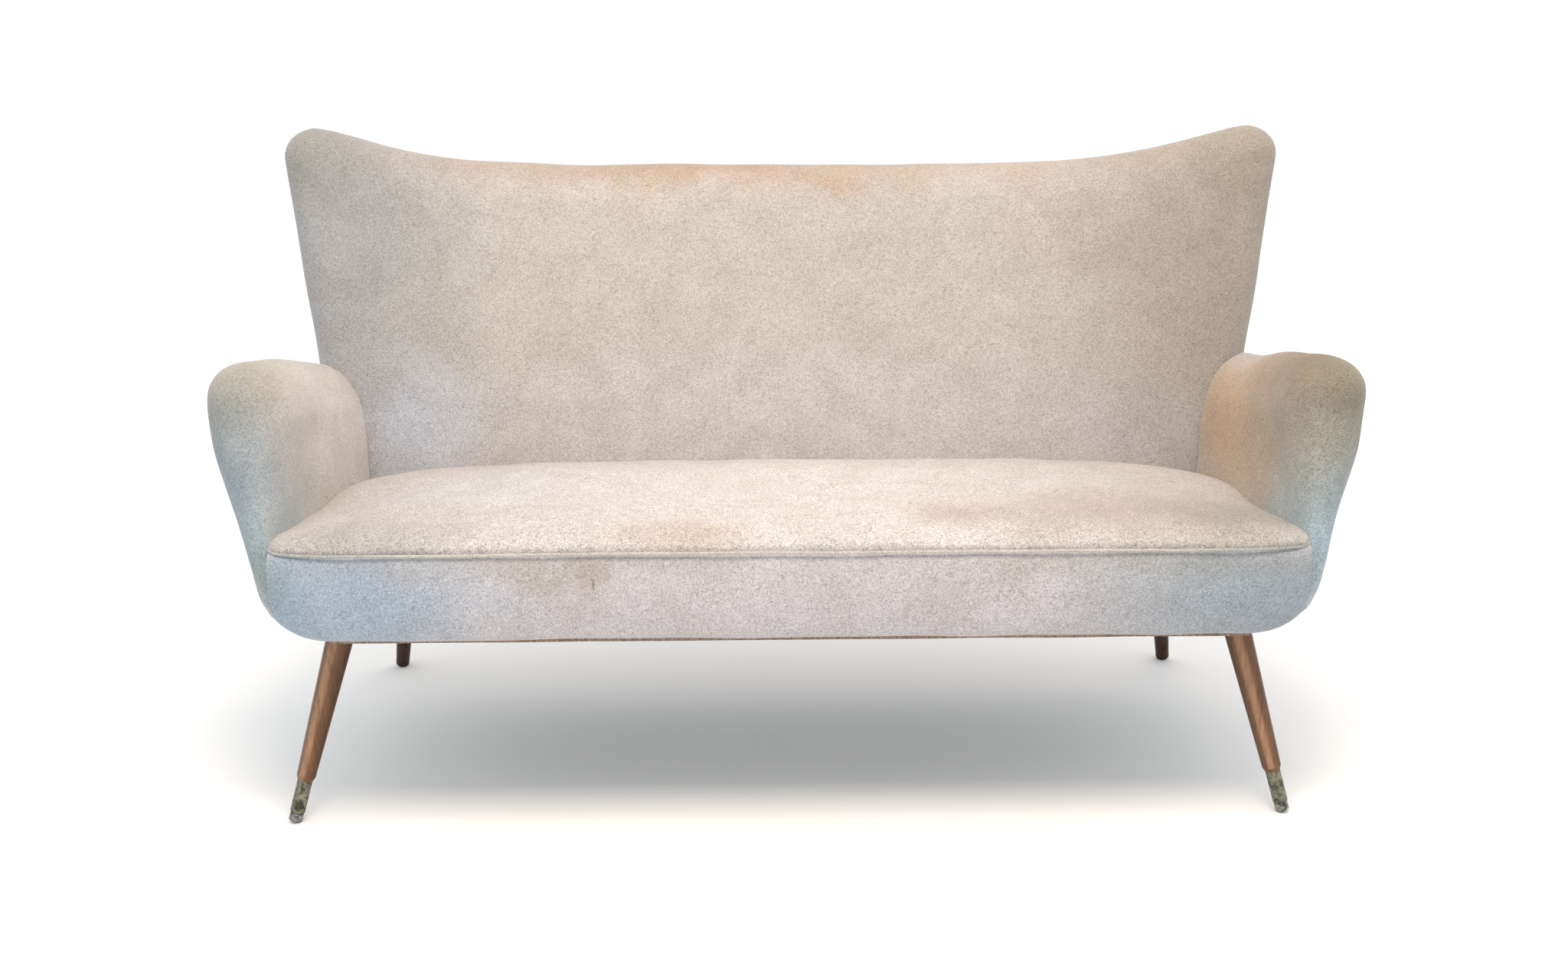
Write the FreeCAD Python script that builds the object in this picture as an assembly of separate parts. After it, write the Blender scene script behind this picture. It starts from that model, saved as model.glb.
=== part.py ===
import FreeCAD, Part
import math
import os

# A three-seat wing-back sofa with fixed upholstery, in millimetres.
# It faces -Y, is mirrored about x = 0 and stands on z = 0.

# Overall sizes
overall_depth = 800.0
underside_height = 300.0
base_height = 135.0
seat_crown = 31.0
back_rise = 470.0
wing_rise = 73.0

# Widths, each a half width measured from the middle of the sofa
base_half_width = 745.0
back_half_width_low = 767.0
back_half_width_high = 845.0

# Upholstery
fabric_thickness = 3.0
layer_gap = 0.3
form_gap = 0.5
cut_overrun = 20.0

# Seat and front border
front_corner_radius = 90.0
nose_height = 22.0
nose_depth = 60.0
seat_pad_thickness = 52.0
seat_back_drop = 42.0
seat_side_drop = 28.0
seat_back_gap = 1.0
seat_pad_gap = 0.9
border_setback = 6.0
border_belly = 7.0
border_corner_lift = 26.0
border_edge_radius = 14.0
border_return = 24.0
border_behind_arm_front = 6.0
welt_diameter = 7.0
welt_end_angle_deg = 64.0

# Back
back_lean = 150.0
back_thickness_low = 116.0
back_thickness_high = 100.0
back_belly = 11.0
back_rear_swell = 3.0
wing_reach = 104.0
back_panel_inset = 38.0
panel_cut_depth = 9.0

# Arms
arm_front_setback = 72.0
arm_front_rake = 0.10
arm_front_round = 52.0
arm_rear_bury = 46.0
arm_top_front = 254.0
arm_top_rear = 158.0
arm_radius_front = 62.0
arm_radius_rear = 40.0
arm_spread_front = 34.0
arm_spread_rear = 9.0
arm_foot_thickness = 38.0
arm_foot_outside = 17.0
arm_belly_out = 13.0
arm_belly_in_front = 21.0
arm_belly_in_rear = 6.0

# Timber frame
rail_height = 73.0
rail_thickness = 30.0
rail_edge_gap = 30.0
block_length = 90.0
block_depth_front = 110.0
block_depth_rear = 88.0
side_rail_thickness = 27.0
side_rail_end_gap = 18.0
corner_bevel_across = 80.0
corner_bevel_deep = 44.0
joint_gap = 0.2
brace_width = 40.0
brace_height = 45.0
post_width = 32.0
post_depth = 44.0
stile_width = 40.0
crest_height = 42.0
crest_drop = 58.0
tack_rail_height = 36.0
tack_rail_lift = 14.0
wing_board_thickness = 18.0
wing_board_depth = 34.0
wing_board_drop = 74.0
wing_block_height = 44.0
arm_post_thickness = 20.0
arm_post_depth = 48.0
arm_rail_thickness = 24.0
arm_rail_height = 34.0

# Suspension
spring_count = 9
spring_pitch = 124.0
spring_width = 52.0
spring_wire = 3.4
spring_bar_spacing = 24.0
clip_sheet = 1.2
clip_width = 26.0
clip_depth = 22.0
hessian_thickness = 1.5
webbing_width = 50.0
webbing_thickness = 2.0
webbing_count = 4
webbing_pitch = 88.0
dust_cover_thickness = 1.2
dust_cover_margin = 8.0
tack_strip_width = 12.0
tack_strip_thickness = 2.6

# Legs
leg_top_diameter = 42.0
leg_bottom_diameter = 28.0
leg_bevel_length = 7.0
leg_rear_tip_diameter = 24.0
front_leg_top_x = 657.0
front_leg_top_y = -288.0
front_leg_splay_x = 86.0
front_leg_splay_y = -36.0
rear_leg_top_x = 650.0
rear_leg_top_y = 184.0
rear_leg_splay_x = 56.0
rear_leg_splay_y = 114.0
leg_spigot_length = 26.0
leg_tip_round = 14.5
ferrule_diameter = 22.0
ferrule_wall = 2.0
ferrule_length = 50.0
ferrule_end_thickness = 6.0
foot_height = 17.0
foot_diameter = 20.0
foot_round = 13.0
foot_thread_gap = 1.2
stud_diameter = 8.0
stud_length = 34.0
stud_clearance = 0.1
plate_size = 58.0
plate_thickness = 2.5
bolt_diameter = 8.0
bolt_in_leg = 40.0
bolt_above_plate = 16.0
plate_screw_diameter = 4.0
plate_screw_length = 18.0
plate_screw_inset = 8.0
frame_screw_diameter = 5.0
frame_screw_length = 60.0
frame_screw_head = 10.0
frame_screw_head_height = 3.0
screws_per_block = 2
bolts_per_post = 2
arm_bolt_diameter = 6.0
arm_bolt_head = 16.0
arm_bolt_head_height = 3.0
staple_width = 10.0
staple_wire = 1.0
staple_pitch = 92.0

# Shares along the back, from the middle to the side: place, rise of the top line,
# forward curve of the wing, thickness
back_section_shares = [
    (0.00, 0.00, 0.00, 1.00),
    (0.30, 0.00, 0.01, 1.00),
    (0.52, 0.05, 0.05, 1.00),
    (0.66, 0.17, 0.14, 1.00),
    (0.76, 0.35, 0.30, 0.98),
    (0.84, 0.62, 0.51, 0.95),
    (0.90, 0.86, 0.71, 0.90),
    (0.945, 0.98, 0.86, 0.78),
    (0.975, 0.93, 0.95, 0.60),
    (0.992, 0.72, 0.99, 0.40),
    (1.00, 0.48, 1.00, 0.22),
]
top_round_share = 0.46
# Shares of the seat's half width up to where its front corners begin, and the crown there
seat_flat_shares = [(0.0, 1.0), (0.34, 0.98), (0.60, 0.91), (0.80, 0.84), (0.92, 0.80)]
corner_angles_deg = [0.0, 25.0, 48.0, 68.0, 84.0, 90.0]
corner_crown_shares = [0.76, 0.66, 0.56, 0.46, 0.38, 0.34]
nose_round_share = 0.70
# Shares of the arm's length and of its section's size, from the front to the rear
arm_cap_shares = [(0.0, 0.42), (0.10, 0.68), (0.34, 0.89), (1.0, 1.0)]
arm_run_shares = [0.45, 0.75, 1.0]
arm_post_share = 0.16
arm_rail_end_share = 0.79
# Shares of the back's half width where its posts and wing boards stand
post_share = 0.72
wing_board_share = 0.925

# Derived levels and places
half_depth = overall_depth / 2
welt_z = underside_height + base_height
back_top_z = welt_z + back_rise
wing_top_z = back_top_z + wing_rise
seat_bottom_z = welt_z - seat_pad_thickness
rail_top_z = underside_height + rail_height
back_slope = back_lean / back_rise
back_shoulder_rise = back_rise - back_thickness_high * top_round_share
back_front_at_seat_y = half_depth - back_rear_swell - back_thickness_high - back_shoulder_rise * back_slope
back_bottom_z = underside_height - layer_gap
seat_front_y = -half_depth + welt_diameter + form_gap - fabric_thickness - layer_gap
corner_start_x = base_half_width - front_corner_radius
front_rail_y = seat_front_y + border_setback + rail_edge_gap
side_rail_out_x = base_half_width + arm_spread_rear - arm_radius_rear - arm_belly_in_rear - joint_gap


def vec(x, y, z):
    return FreeCAD.Vector(x, y, z)


def mix(a, b, share):
    return a + (b - a) * share


def line(p, q):
    return Part.LineSegment(p, q).toShape()


def arc(p, q, r):
    return Part.Arc(p, q, r).toShape()


def box(x0, x1, y0, y1, z0, z1):
    return Part.makeBox(x1 - x0, y1 - y0, z1 - z0, vec(x0, y0, z0))


def rod(diameter, start, end):
    """A straight round bar between two points."""
    run = end - start
    return Part.makeCylinder(diameter / 2, run.Length, start, run)


def mirror(shape):
    return shape.mirror(vec(0, 0, 0), vec(1, 0, 0))


def both_sides(name, right_shape):
    """The right-hand piece (+X) and its mirror image."""
    return {name + "_right": right_shape, name + "_left": mirror(right_shape)}


def closed_loft(wires, ruled=False):
    solid = Part.makeLoft(wires, True, ruled)
    if solid.Volume < 0:
        solid.reverse()
    return solid


# Back: sections in planes that fan out with the slanted side edges


def back_half_width(z):
    share = (z - underside_height) / (wing_top_z - underside_height)
    return mix(back_half_width_low, back_half_width_high, share)


def back_shares_at(side_share):
    """Rise, forward curve and thickness shares at a place across the back."""
    place = abs(side_share)
    for low, high in zip(back_section_shares, back_section_shares[1:]):
        if place <= high[0]:
            part = (place - low[0]) / (high[0] - low[0])
            return [mix(a, b, part) for a, b in zip(low[1:], high[1:])]
    return list(back_section_shares[-1][1:])


def back_thickness(z):
    share = (z - underside_height) / (back_top_z - underside_height)
    return mix(back_thickness_low, back_thickness_high, share)


def back_middle_y(side_share, z):
    """The middle of the back's thickness at a place across and a height."""
    forward = back_shares_at(side_share)[1]
    reach = wing_reach * forward * (z - underside_height) / (wing_top_z - underside_height)
    front = back_front_at_seat_y + (z - welt_z) * back_slope - reach
    return front + back_thickness(z) / 2


def back_point(side_share, z, y_offset, inset=0.0):
    x = side_share * (back_half_width(z) - inset)
    return vec(x, back_middle_y(side_share, z) + y_offset, z)


def back_front_y(x, z):
    """The front face of the back at a place across and a height, with its belly."""
    share = min(abs(x) / back_half_width(z), 1.0)
    thick = back_shares_at(share)[2]
    shoulder_z = back_top_z - back_thickness_high * top_round_share
    middle_z = (shoulder_z + back_bottom_z) / 2
    off_middle = (z - middle_z) / (shoulder_z - middle_z)
    belly = back_belly * thick * (1 - off_middle * off_middle)
    return back_middle_y(share, z) - back_thickness(z) * thick / 2 - belly


def back_section(side_share, inset):
    """One closed outline of the back, open to the frame at its lower edge."""
    rise, forward, thick = back_shares_at(side_share)
    bottom_z = back_bottom_z + min(inset, 0)
    top_z = back_top_z + wing_rise * rise - inset
    half_top = back_thickness(top_z) * thick / 2 - inset
    half_low = back_thickness(bottom_z) * thick / 2 - inset
    shoulder_z = top_z - back_thickness(top_z) * thick * top_round_share
    middle_z = (shoulder_z + bottom_z) / 2
    half_mid = (half_top + half_low) / 2
    diagonal = math.sin(math.radians(45.0))
    round_z = mix(shoulder_z, top_z, diagonal)

    def at(z, offset):
        return back_point(side_share, z, offset, inset)

    front_low = at(bottom_z, -half_low)
    front_high = at(shoulder_z, -half_top)
    rear_low = at(bottom_z, half_low)
    rear_high = at(shoulder_z, half_top)
    crest = at(top_z, 0)
    front_mid = at(middle_z, -half_mid - back_belly * thick)
    rear_mid = at(middle_z, half_mid + back_belly * thick / 2)
    return Part.Wire([
        line(rear_low, front_low),
        arc(front_low, front_mid, front_high),
        arc(front_high, at(round_z, -half_top * diagonal), crest),
        arc(crest, at(round_z, half_top * diagonal), rear_high),
        arc(rear_high, rear_mid, rear_low),
    ])


def back_form(inset=0.0):
    places = [row[0] for row in back_section_shares]
    spread = [-place for place in reversed(places[1:])] + places
    return closed_loft([back_section(place, inset) for place in spread])


def back_board(share_0, share_1, z0, z1, depth, offset=0.0, grow=0.0):
    """A straight board inside the back, between two places across it."""
    wires = []
    for place, side in ((share_0, -1), (share_1, 1)):
        corners = []
        for z, y_side in ((z0 - grow, -1), (z0 - grow, 1), (z1 + grow, 1), (z1 + grow, -1)):
            point = back_point(place, z, offset + y_side * (depth / 2 + grow))
            corners.append(point + vec(side * grow, 0, 0))
        wires.append(Part.makePolygon(corners + corners[:1]))
    return closed_loft(wires, ruled=True)


# Seat and front border: sections across the sofa with rounded front corners


def front_stations(inset):
    """Places across the front: x, retreat of the front edge, crown share, corner share."""
    stations = []
    for share, crown in seat_flat_shares:
        stations.append((corner_start_x * share, 0.0, crown, 0.0))
    radius = front_corner_radius - inset
    for angle_deg, crown in zip(corner_angles_deg, corner_crown_shares):
        angle = math.radians(angle_deg)
        retreat = front_corner_radius - inset - radius * math.cos(angle)
        corner = 1 - math.cos(angle)
        stations.append((corner_start_x + radius * math.sin(angle), retreat, crown, corner))
    return stations


def mirrored_stations(inset):
    right = front_stations(inset)
    left = [(-x, retreat, crown, corner) for x, retreat, crown, corner in reversed(right[1:])]
    return left + right


def seat_line(station, inset, edge_z):
    """Five points over the seat at one place across: edge, roll, nose, crown and rear."""
    x, retreat, crown, corner = station
    front_y = seat_front_y + inset + retreat
    nose_y = front_y + nose_depth
    nose_z = welt_z + nose_height * crown - inset
    top_z = welt_z + seat_crown * crown - seat_side_drop * corner - inset
    rear_z = top_z - seat_back_drop * crown
    rear_y = back_front_y(x, rear_z) - seat_back_gap - inset
    roll_y = mix(nose_y, front_y, nose_round_share)
    roll_z = mix(edge_z, nose_z, nose_round_share)
    return [vec(x, front_y, edge_z), vec(x, roll_y, roll_z), vec(x, nose_y, nose_z),
            vec(x, (nose_y + rear_y) / 2, top_z), vec(x, rear_y, rear_z)]


def seat_section(station, inset):
    """The seat's padding at one place across the sofa."""
    edge, roll, nose, crown, rear = seat_line(station, inset, welt_z)
    rear_low = vec(edge.x, back_front_y(edge.x, seat_bottom_z) - seat_back_gap - inset, seat_bottom_z)
    front_low = vec(edge.x, edge.y + border_setback, seat_bottom_z)
    return Part.Wire([
        line(rear_low, front_low), line(front_low, edge), arc(edge, roll, nose),
        arc(nose, crown, rear), line(rear, rear_low),
    ])


def seat_cover_section(station):
    """The cloth over the seat at one place across, from the welt to the back."""
    edge_z = welt_z + welt_diameter / 2 + layer_gap
    edge, roll, nose, crown, rear = seat_line(station, 0.0, edge_z)
    in_y = vec(0, fabric_thickness, 0)
    in_z = vec(0, 0, -fabric_thickness)
    edge_in = edge + in_y
    roll_in = roll + (in_y + in_z) * math.sin(math.radians(45.0))
    nose_in, crown_in, rear_in = nose + in_z, crown + in_z, rear + in_z
    return Part.Wire([
        arc(edge, roll, nose), arc(nose, crown, rear), line(rear, rear_in),
        arc(rear_in, crown_in, nose_in), arc(nose_in, roll_in, edge_in), line(edge_in, edge),
    ])


def seat_form(inset=0.0):
    return closed_loft([seat_section(station, inset) for station in mirrored_stations(inset)])


def seat_cover_form():
    return closed_loft([seat_cover_section(station) for station in mirrored_stations(0.0)])


def border_section(station, inset):
    x, retreat, crown, corner = station
    front_y = seat_front_y + border_setback + inset + retreat
    bottom_z = underside_height + border_corner_lift * corner + inset
    top_z = welt_z
    rear_y = seat_front_y + front_corner_radius + border_return
    middle_z = (bottom_z + top_z) / 2
    round_z = bottom_z + border_edge_radius
    diagonal = 1 - math.sin(math.radians(45.0))
    edge_y = front_y + border_edge_radius
    edge_mid = vec(x, front_y + border_edge_radius * diagonal, bottom_z + border_edge_radius * diagonal)
    return Part.Wire([
        line(vec(x, rear_y, bottom_z), vec(x, edge_y, bottom_z)),
        arc(vec(x, edge_y, bottom_z), edge_mid, vec(x, front_y, round_z)),
        arc(vec(x, front_y, round_z), vec(x, front_y - border_belly, middle_z), vec(x, front_y, top_z)),
        line(vec(x, front_y, top_z), vec(x, rear_y, top_z)),
        line(vec(x, rear_y, top_z), vec(x, rear_y, bottom_z)),
    ])


def border_form(inset=0.0):
    return closed_loft([border_section(station, inset) for station in mirrored_stations(inset)])


# Arms: sections along the arm, leaning with the back at the rear

arm_front_y = seat_front_y + arm_front_setback
arm_rear_y = back_front_at_seat_y + arm_rear_bury


def arm_sizes(share):
    """The arm's section at a share of its length: top centre, radius and belly."""
    return {
        "y": mix(arm_front_y, arm_rear_y, share),
        "rake": mix(arm_front_rake, back_slope, share),
        "radius": mix(arm_radius_front, arm_radius_rear, share),
        "top_x": base_half_width + mix(arm_spread_front, arm_spread_rear, share),
        "top_z": welt_z + mix(arm_top_front, arm_top_rear, share),
        "belly_in": mix(arm_belly_in_front, -arm_belly_in_rear, share),
    }


def arm_section(share, size_share, inset):
    """One closed outline across the arm, thick at its round top and thin at its foot."""
    sizes = arm_sizes(share)
    bottom_z = underside_height + min(inset, 0)
    radius = sizes["radius"] * size_share - inset
    centre_z = sizes["top_z"] - sizes["radius"]
    top_x = sizes["top_x"]
    foot_middle = base_half_width + arm_foot_outside - arm_foot_thickness / 2
    foot_half = arm_foot_thickness / 2 * size_share - inset
    foot_in = foot_middle - foot_half
    foot_out = foot_middle + foot_half
    middle_z = (centre_z + bottom_z) / 2
    diagonal = math.sin(math.radians(45.0))

    def at(x, z):
        return vec(x, sizes["y"] + sizes["rake"] * (z - welt_z), z)

    out_mid_x = (foot_out + top_x + radius) / 2 + arm_belly_out * size_share
    in_mid_x = (foot_in + top_x - radius) / 2 + sizes["belly_in"] * size_share
    return Part.Wire([
        line(at(foot_in, bottom_z), at(foot_out, bottom_z)),
        arc(at(foot_out, bottom_z), at(out_mid_x, middle_z), at(top_x + radius, centre_z)),
        arc(at(top_x + radius, centre_z), at(top_x + radius * diagonal, centre_z + radius * diagonal),
            at(top_x, centre_z + radius)),
        arc(at(top_x, centre_z + radius), at(top_x - radius * diagonal, centre_z + radius * diagonal),
            at(top_x - radius, centre_z)),
        arc(at(top_x - radius, centre_z), at(in_mid_x, middle_z), at(foot_in, bottom_z)),
    ])


def arm_stations(inset):
    """Shares along the arm with the size of the section there; the front end is rounded."""
    length = arm_rear_y - arm_front_y
    stations = []
    for depth_share, size in arm_cap_shares:
        depth = inset + arm_front_round * depth_share
        stations.append((depth / length, size))
    return stations + [(share, 1.0) for share in arm_run_shares]


def arm_form(inset=0.0):
    return closed_loft([arm_section(share, size, inset) for share, size in arm_stations(inset)])


def arm_board(share_0, share_1, low, high, thickness, grow=0.0):
    """A board along the arm; low and high are heights above the seat line at its two ends."""
    wires = []
    foot_middle = base_half_width + arm_foot_outside - arm_foot_thickness / 2
    for share, step in ((share_0, -grow), (share_1, grow)):
        sizes = arm_sizes(share)
        centre_z = sizes["top_z"] - sizes["radius"]
        corners = []
        for z, side in ((low(sizes) - grow, -1), (low(sizes) - grow, 1),
                        (high(sizes) + grow, 1), (high(sizes) + grow, -1)):
            height_share = (z - underside_height) / (centre_z - underside_height)
            x = mix(foot_middle, sizes["top_x"], height_share) + side * (thickness / 2 + grow)
            corners.append(vec(x, sizes["y"] + step + sizes["rake"] * (z - welt_z), z))
        wires.append(Part.makePolygon(corners + corners[:1]))
    return closed_loft(wires, ruled=True)


# Timber frame

block_in_x = side_rail_out_x - side_rail_thickness - joint_gap - block_length
block_out_x = side_rail_out_x - side_rail_thickness - joint_gap


def rear_rail_place():
    """The rear rail stands just inside the back's rear cover, where that is nearest."""
    share = block_out_x / back_half_width(underside_height)
    thick = back_shares_at(share)[2]
    rear = back_middle_y(share, underside_height) + back_thickness(underside_height) * thick / 2
    return rear - fabric_thickness - form_gap - rail_thickness


rear_rail_y = rear_rail_place()


def corner_off(margin=0.0):
    """What the bevel takes off the frame's right front corner, seen from above; margin moves it in."""
    out_x = side_rail_out_x - margin
    front_y = front_rail_y + margin
    corners = [vec(out_x - corner_bevel_across, front_y, 0), vec(out_x, front_y + corner_bevel_deep, 0),
               vec(out_x + cut_overrun, front_y + corner_bevel_deep, 0),
               vec(out_x + cut_overrun, front_y - cut_overrun, 0),
               vec(out_x - corner_bevel_across, front_y - cut_overrun, 0)]
    return Part.Face(Part.makePolygon(corners + corners[:1])).extrude(vec(0, 0, welt_z))


def seat_frame():
    """Rails between the four leg blocks, and one brace under the springs."""
    rail_end = block_in_x - joint_gap
    front_block_rear = front_rail_y + block_depth_front
    rear_block_rear = rear_rail_y + rail_thickness
    nodes = {
        "front_rail": box(-rail_end, rail_end, front_rail_y, front_rail_y + rail_thickness,
                          underside_height, rail_top_z),
        "rear_rail": box(-rail_end, rail_end, rear_rail_y, rear_rail_y + rail_thickness,
                         underside_height, rail_top_z),
        "centre_brace": box(-brace_width / 2, brace_width / 2,
                            front_rail_y + rail_thickness + joint_gap, rear_rail_y - joint_gap,
                            underside_height, underside_height + brace_height),
    }
    side_rail = box(side_rail_out_x - side_rail_thickness, side_rail_out_x, front_rail_y + rail_thickness,
                    rear_block_rear - side_rail_end_gap, underside_height, rail_top_z)
    front_block = box(block_in_x, block_out_x, front_rail_y, front_block_rear, underside_height, rail_top_z)
    nodes.update(both_sides("side_rail", side_rail.cut(corner_off())))
    nodes.update(both_sides("front_leg_block", front_block.cut(corner_off())))
    nodes.update(both_sides("rear_leg_block", box(
        block_in_x, block_out_x, rear_block_rear - block_depth_rear, rear_block_rear,
        underside_height, rail_top_z)))
    return nodes


# Legs, feet and fixings


def leg_line(side):
    """The tip on the floor, the direction up the leg, and where it meets its plate."""
    if side == "front":
        place = vec(front_leg_top_x, front_leg_top_y, underside_height)
        splay = vec(front_leg_splay_x, front_leg_splay_y, -underside_height)
    else:
        place = vec(rear_leg_top_x, rear_leg_top_y, underside_height)
        splay = vec(rear_leg_splay_x, rear_leg_splay_y, -underside_height)
    up = splay * -1
    up.normalize()
    return place + splay, up, place


def along(start, direction, distance):
    return start + direction * distance


def above_floor(shape):
    """Trim a tilted piece flat where it stands on the floor and where it meets its plate."""
    reach = overall_depth + base_half_width
    floor = box(-reach, reach, -reach, reach, -reach, 0)
    plate = box(-reach, reach, -reach, reach, underside_height - plate_thickness, reach)
    return shape.cut(floor).cut(plate)


def hanger_bolt(side, grow=0.0):
    tip, up, place = leg_line(side)
    return rod(bolt_diameter + grow * 2, along(place, up, -bolt_in_leg - grow),
               along(place, up, bolt_above_plate + grow))


def front_leg():
    """A turned, tapered wooden leg, bevelled down to the spigot that the ferrule fits over."""
    tip, up, place = leg_line("front")
    wood_start = foot_height + foot_thread_gap + ferrule_length
    taper_start = wood_start + leg_bevel_length
    length = (place - tip).Length + cut_overrun - taper_start
    spigot_diameter = ferrule_diameter - ferrule_wall * 2 - layer_gap * 2
    taper = Part.makeCone(leg_bottom_diameter / 2, leg_top_diameter / 2, length,
                          along(tip, up, taper_start), up)
    bevel = Part.makeCone(ferrule_diameter / 2 + layer_gap, leg_bottom_diameter / 2, leg_bevel_length,
                          along(tip, up, wood_start), up)
    spigot = rod(spigot_diameter, along(tip, up, wood_start - leg_spigot_length), along(tip, up, wood_start))
    stud_room = rod(stud_diameter + stud_clearance * 2, tip,
                    along(tip, up, foot_height + stud_length + layer_gap))
    wood = above_floor(taper.fuse(bevel).fuse(spigot))
    return wood.cut(stud_room).cut(hanger_bolt("front", layer_gap))


def rear_leg():
    """A plain tapered leg that stands on its own rounded wooden end."""
    tip, up, place = leg_line("rear")
    length = (place - tip).Length + cut_overrun - leg_tip_round
    taper = Part.makeCone(leg_rear_tip_diameter / 2, leg_top_diameter / 2, length,
                          along(tip, up, leg_tip_round), up)
    end = rod(leg_rear_tip_diameter, along(tip, up, -leg_tip_round), along(tip, up, leg_tip_round))
    end = end.common(Part.makeSphere(leg_tip_round, along(tip, up, leg_tip_round - layer_gap)))
    return above_floor(taper.fuse(end)).cut(hanger_bolt("rear", layer_gap))


def ferrule():
    """A metal cup over the leg's end, with a threaded hole in its closed end."""
    tip, up, place = leg_line("front")
    start = foot_height + foot_thread_gap
    outer = rod(ferrule_diameter, along(tip, up, start), along(tip, up, start + ferrule_length))
    bore = rod(ferrule_diameter - ferrule_wall * 2, along(tip, up, start + ferrule_end_thickness),
               along(tip, up, start + ferrule_length + layer_gap))
    hole = rod(stud_diameter + stud_clearance * 2, tip, along(tip, up, start + ferrule_length))
    return outer.cut(bore).cut(hole)


def levelling_foot():
    """A domed metal foot on a stud that screws into the ferrule."""
    tip, up, place = leg_line("front")
    dome = rod(foot_diameter, along(tip, up, -foot_round), along(tip, up, foot_height))
    dome = dome.common(Part.makeSphere(foot_round, along(tip, up, foot_round - joint_gap)).fuse(
        rod(foot_diameter, along(tip, up, foot_round), along(tip, up, foot_height))))
    stud = rod(stud_diameter, along(tip, up, foot_round), along(tip, up, foot_height + stud_length))
    return above_floor(dome.fuse(stud))


def plate_screws(side, grow=0.0):
    """Four screws up through the corners of one leg plate."""
    tip, up, place = leg_line(side)
    step = plate_size / 2 - plate_screw_inset
    under = underside_height - plate_thickness
    screws = []
    for dx in (-step, step):
        for dy in (-step, step):
            x = place.x + dx
            y = place.y + dy
            shank = rod(plate_screw_diameter + grow * 2, vec(x, y, under),
                        vec(x, y, under + plate_screw_length + grow))
            head = rod(plate_screw_diameter * 2, vec(x, y, under - plate_thickness / 2), vec(x, y, under))
            screws.append(shank.fuse(head) if grow == 0 else shank)
    return Part.makeCompound(screws)


def leg_plate(side):
    tip, up, place = leg_line(side)
    half = plate_size / 2
    plate = box(place.x - half, place.x + half, place.y - half, place.y + half,
                underside_height - plate_thickness, underside_height)
    return plate.cut(hanger_bolt(side, joint_gap)).cut(plate_screws(side, joint_gap))


def frame_screws(grow=0.0):
    """Screws through the side rails into the four leg blocks."""
    screws = []
    z = underside_height + rail_height / 2
    blocks = [(front_rail_y + rail_thickness, front_rail_y + block_depth_front),
              (rear_rail_y + rail_thickness - block_depth_rear, rear_rail_y + rail_thickness)]
    for y0, y1 in blocks:
        for index in range(screws_per_block):
            y = mix(y0, y1, (index + 1) / (screws_per_block + 1))
            head_end = side_rail_out_x - frame_screw_head_height
            head = rod(frame_screw_head + grow * 2, vec(side_rail_out_x + grow, y, z),
                       vec(head_end - grow, y, z))
            shank = rod(frame_screw_diameter + grow * 2, vec(head_end, y, z),
                        vec(head_end - frame_screw_length - grow, y, z))
            screws.append(head.fuse(shank))
    return Part.makeCompound(screws)


def arm_bolts(grow=0.0):
    """Two bolts that clamp one arm post to its side rail."""
    length = arm_rear_y - arm_front_y
    sizes = arm_sizes(arm_post_share)
    bolts = []
    start_x = side_rail_out_x - side_rail_thickness
    end_x = base_half_width + arm_foot_outside - arm_foot_thickness / 2 + arm_post_thickness / 2
    for index in range(bolts_per_post):
        z = underside_height + rail_height * (index + 1) / (bolts_per_post + 1)
        y = arm_front_y + arm_post_share * length + arm_post_depth / 2 + sizes["rake"] * (z - welt_z)
        head = rod(arm_bolt_head + grow * 2, vec(start_x - arm_bolt_head_height - grow, y, z),
                   vec(start_x, y, z))
        shank = rod(arm_bolt_diameter + grow * 2, vec(start_x - grow, y, z), vec(end_x, y, z))
        bolts.append(head.fuse(shank))
    return Part.makeCompound(bolts)


def four_places(shapes):
    """Right-hand front and rear pieces with their mirror images, as one group."""
    return Part.makeCompound(list(shapes) + [mirror(shape) for shape in shapes])


def dust_cover():
    """Thin black cloth under the frame, cut round the leg plates."""
    top = underside_height - layer_gap
    edge_x = side_rail_out_x - dust_cover_margin
    sheet = box(-edge_x, edge_x, front_rail_y + dust_cover_margin,
                rear_rail_y + rail_thickness - dust_cover_margin, top - dust_cover_thickness, top)
    for side in ("front", "rear"):
        tip, up, place = leg_line(side)
        half = plate_size / 2 + plate_thickness
        window = box(place.x - half, place.x + half, place.y - half, place.y + half, 0, underside_height)
        sheet = sheet.cut(window).cut(mirror(window))
    corner = corner_off(dust_cover_margin)
    return sheet.cut(corner).cut(mirror(corner))


def dust_cover_staples():
    """Staples along the front and rear edges of the dust cover."""
    staples = []
    top = underside_height - layer_gap - dust_cover_thickness
    count = int((block_in_x - staple_width) / staple_pitch)
    for y in (front_rail_y + rail_thickness / 2, rear_rail_y + rail_thickness / 2):
        for index in range(-count, count + 1):
            x = index * staple_pitch
            staples.append(box(x - staple_width / 2, x + staple_width / 2, y, y + staple_wire,
                               top - staple_wire, top))
    return Part.makeCompound(staples)


def front_tack_strip():
    """The narrow brown strip tacked along the bottom edge of the front border."""
    y = seat_front_y + border_setback + border_edge_radius
    top = underside_height - form_gap * 2
    return box(-corner_start_x, corner_start_x, y, y + tack_strip_width, top - tack_strip_thickness, top)


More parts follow.
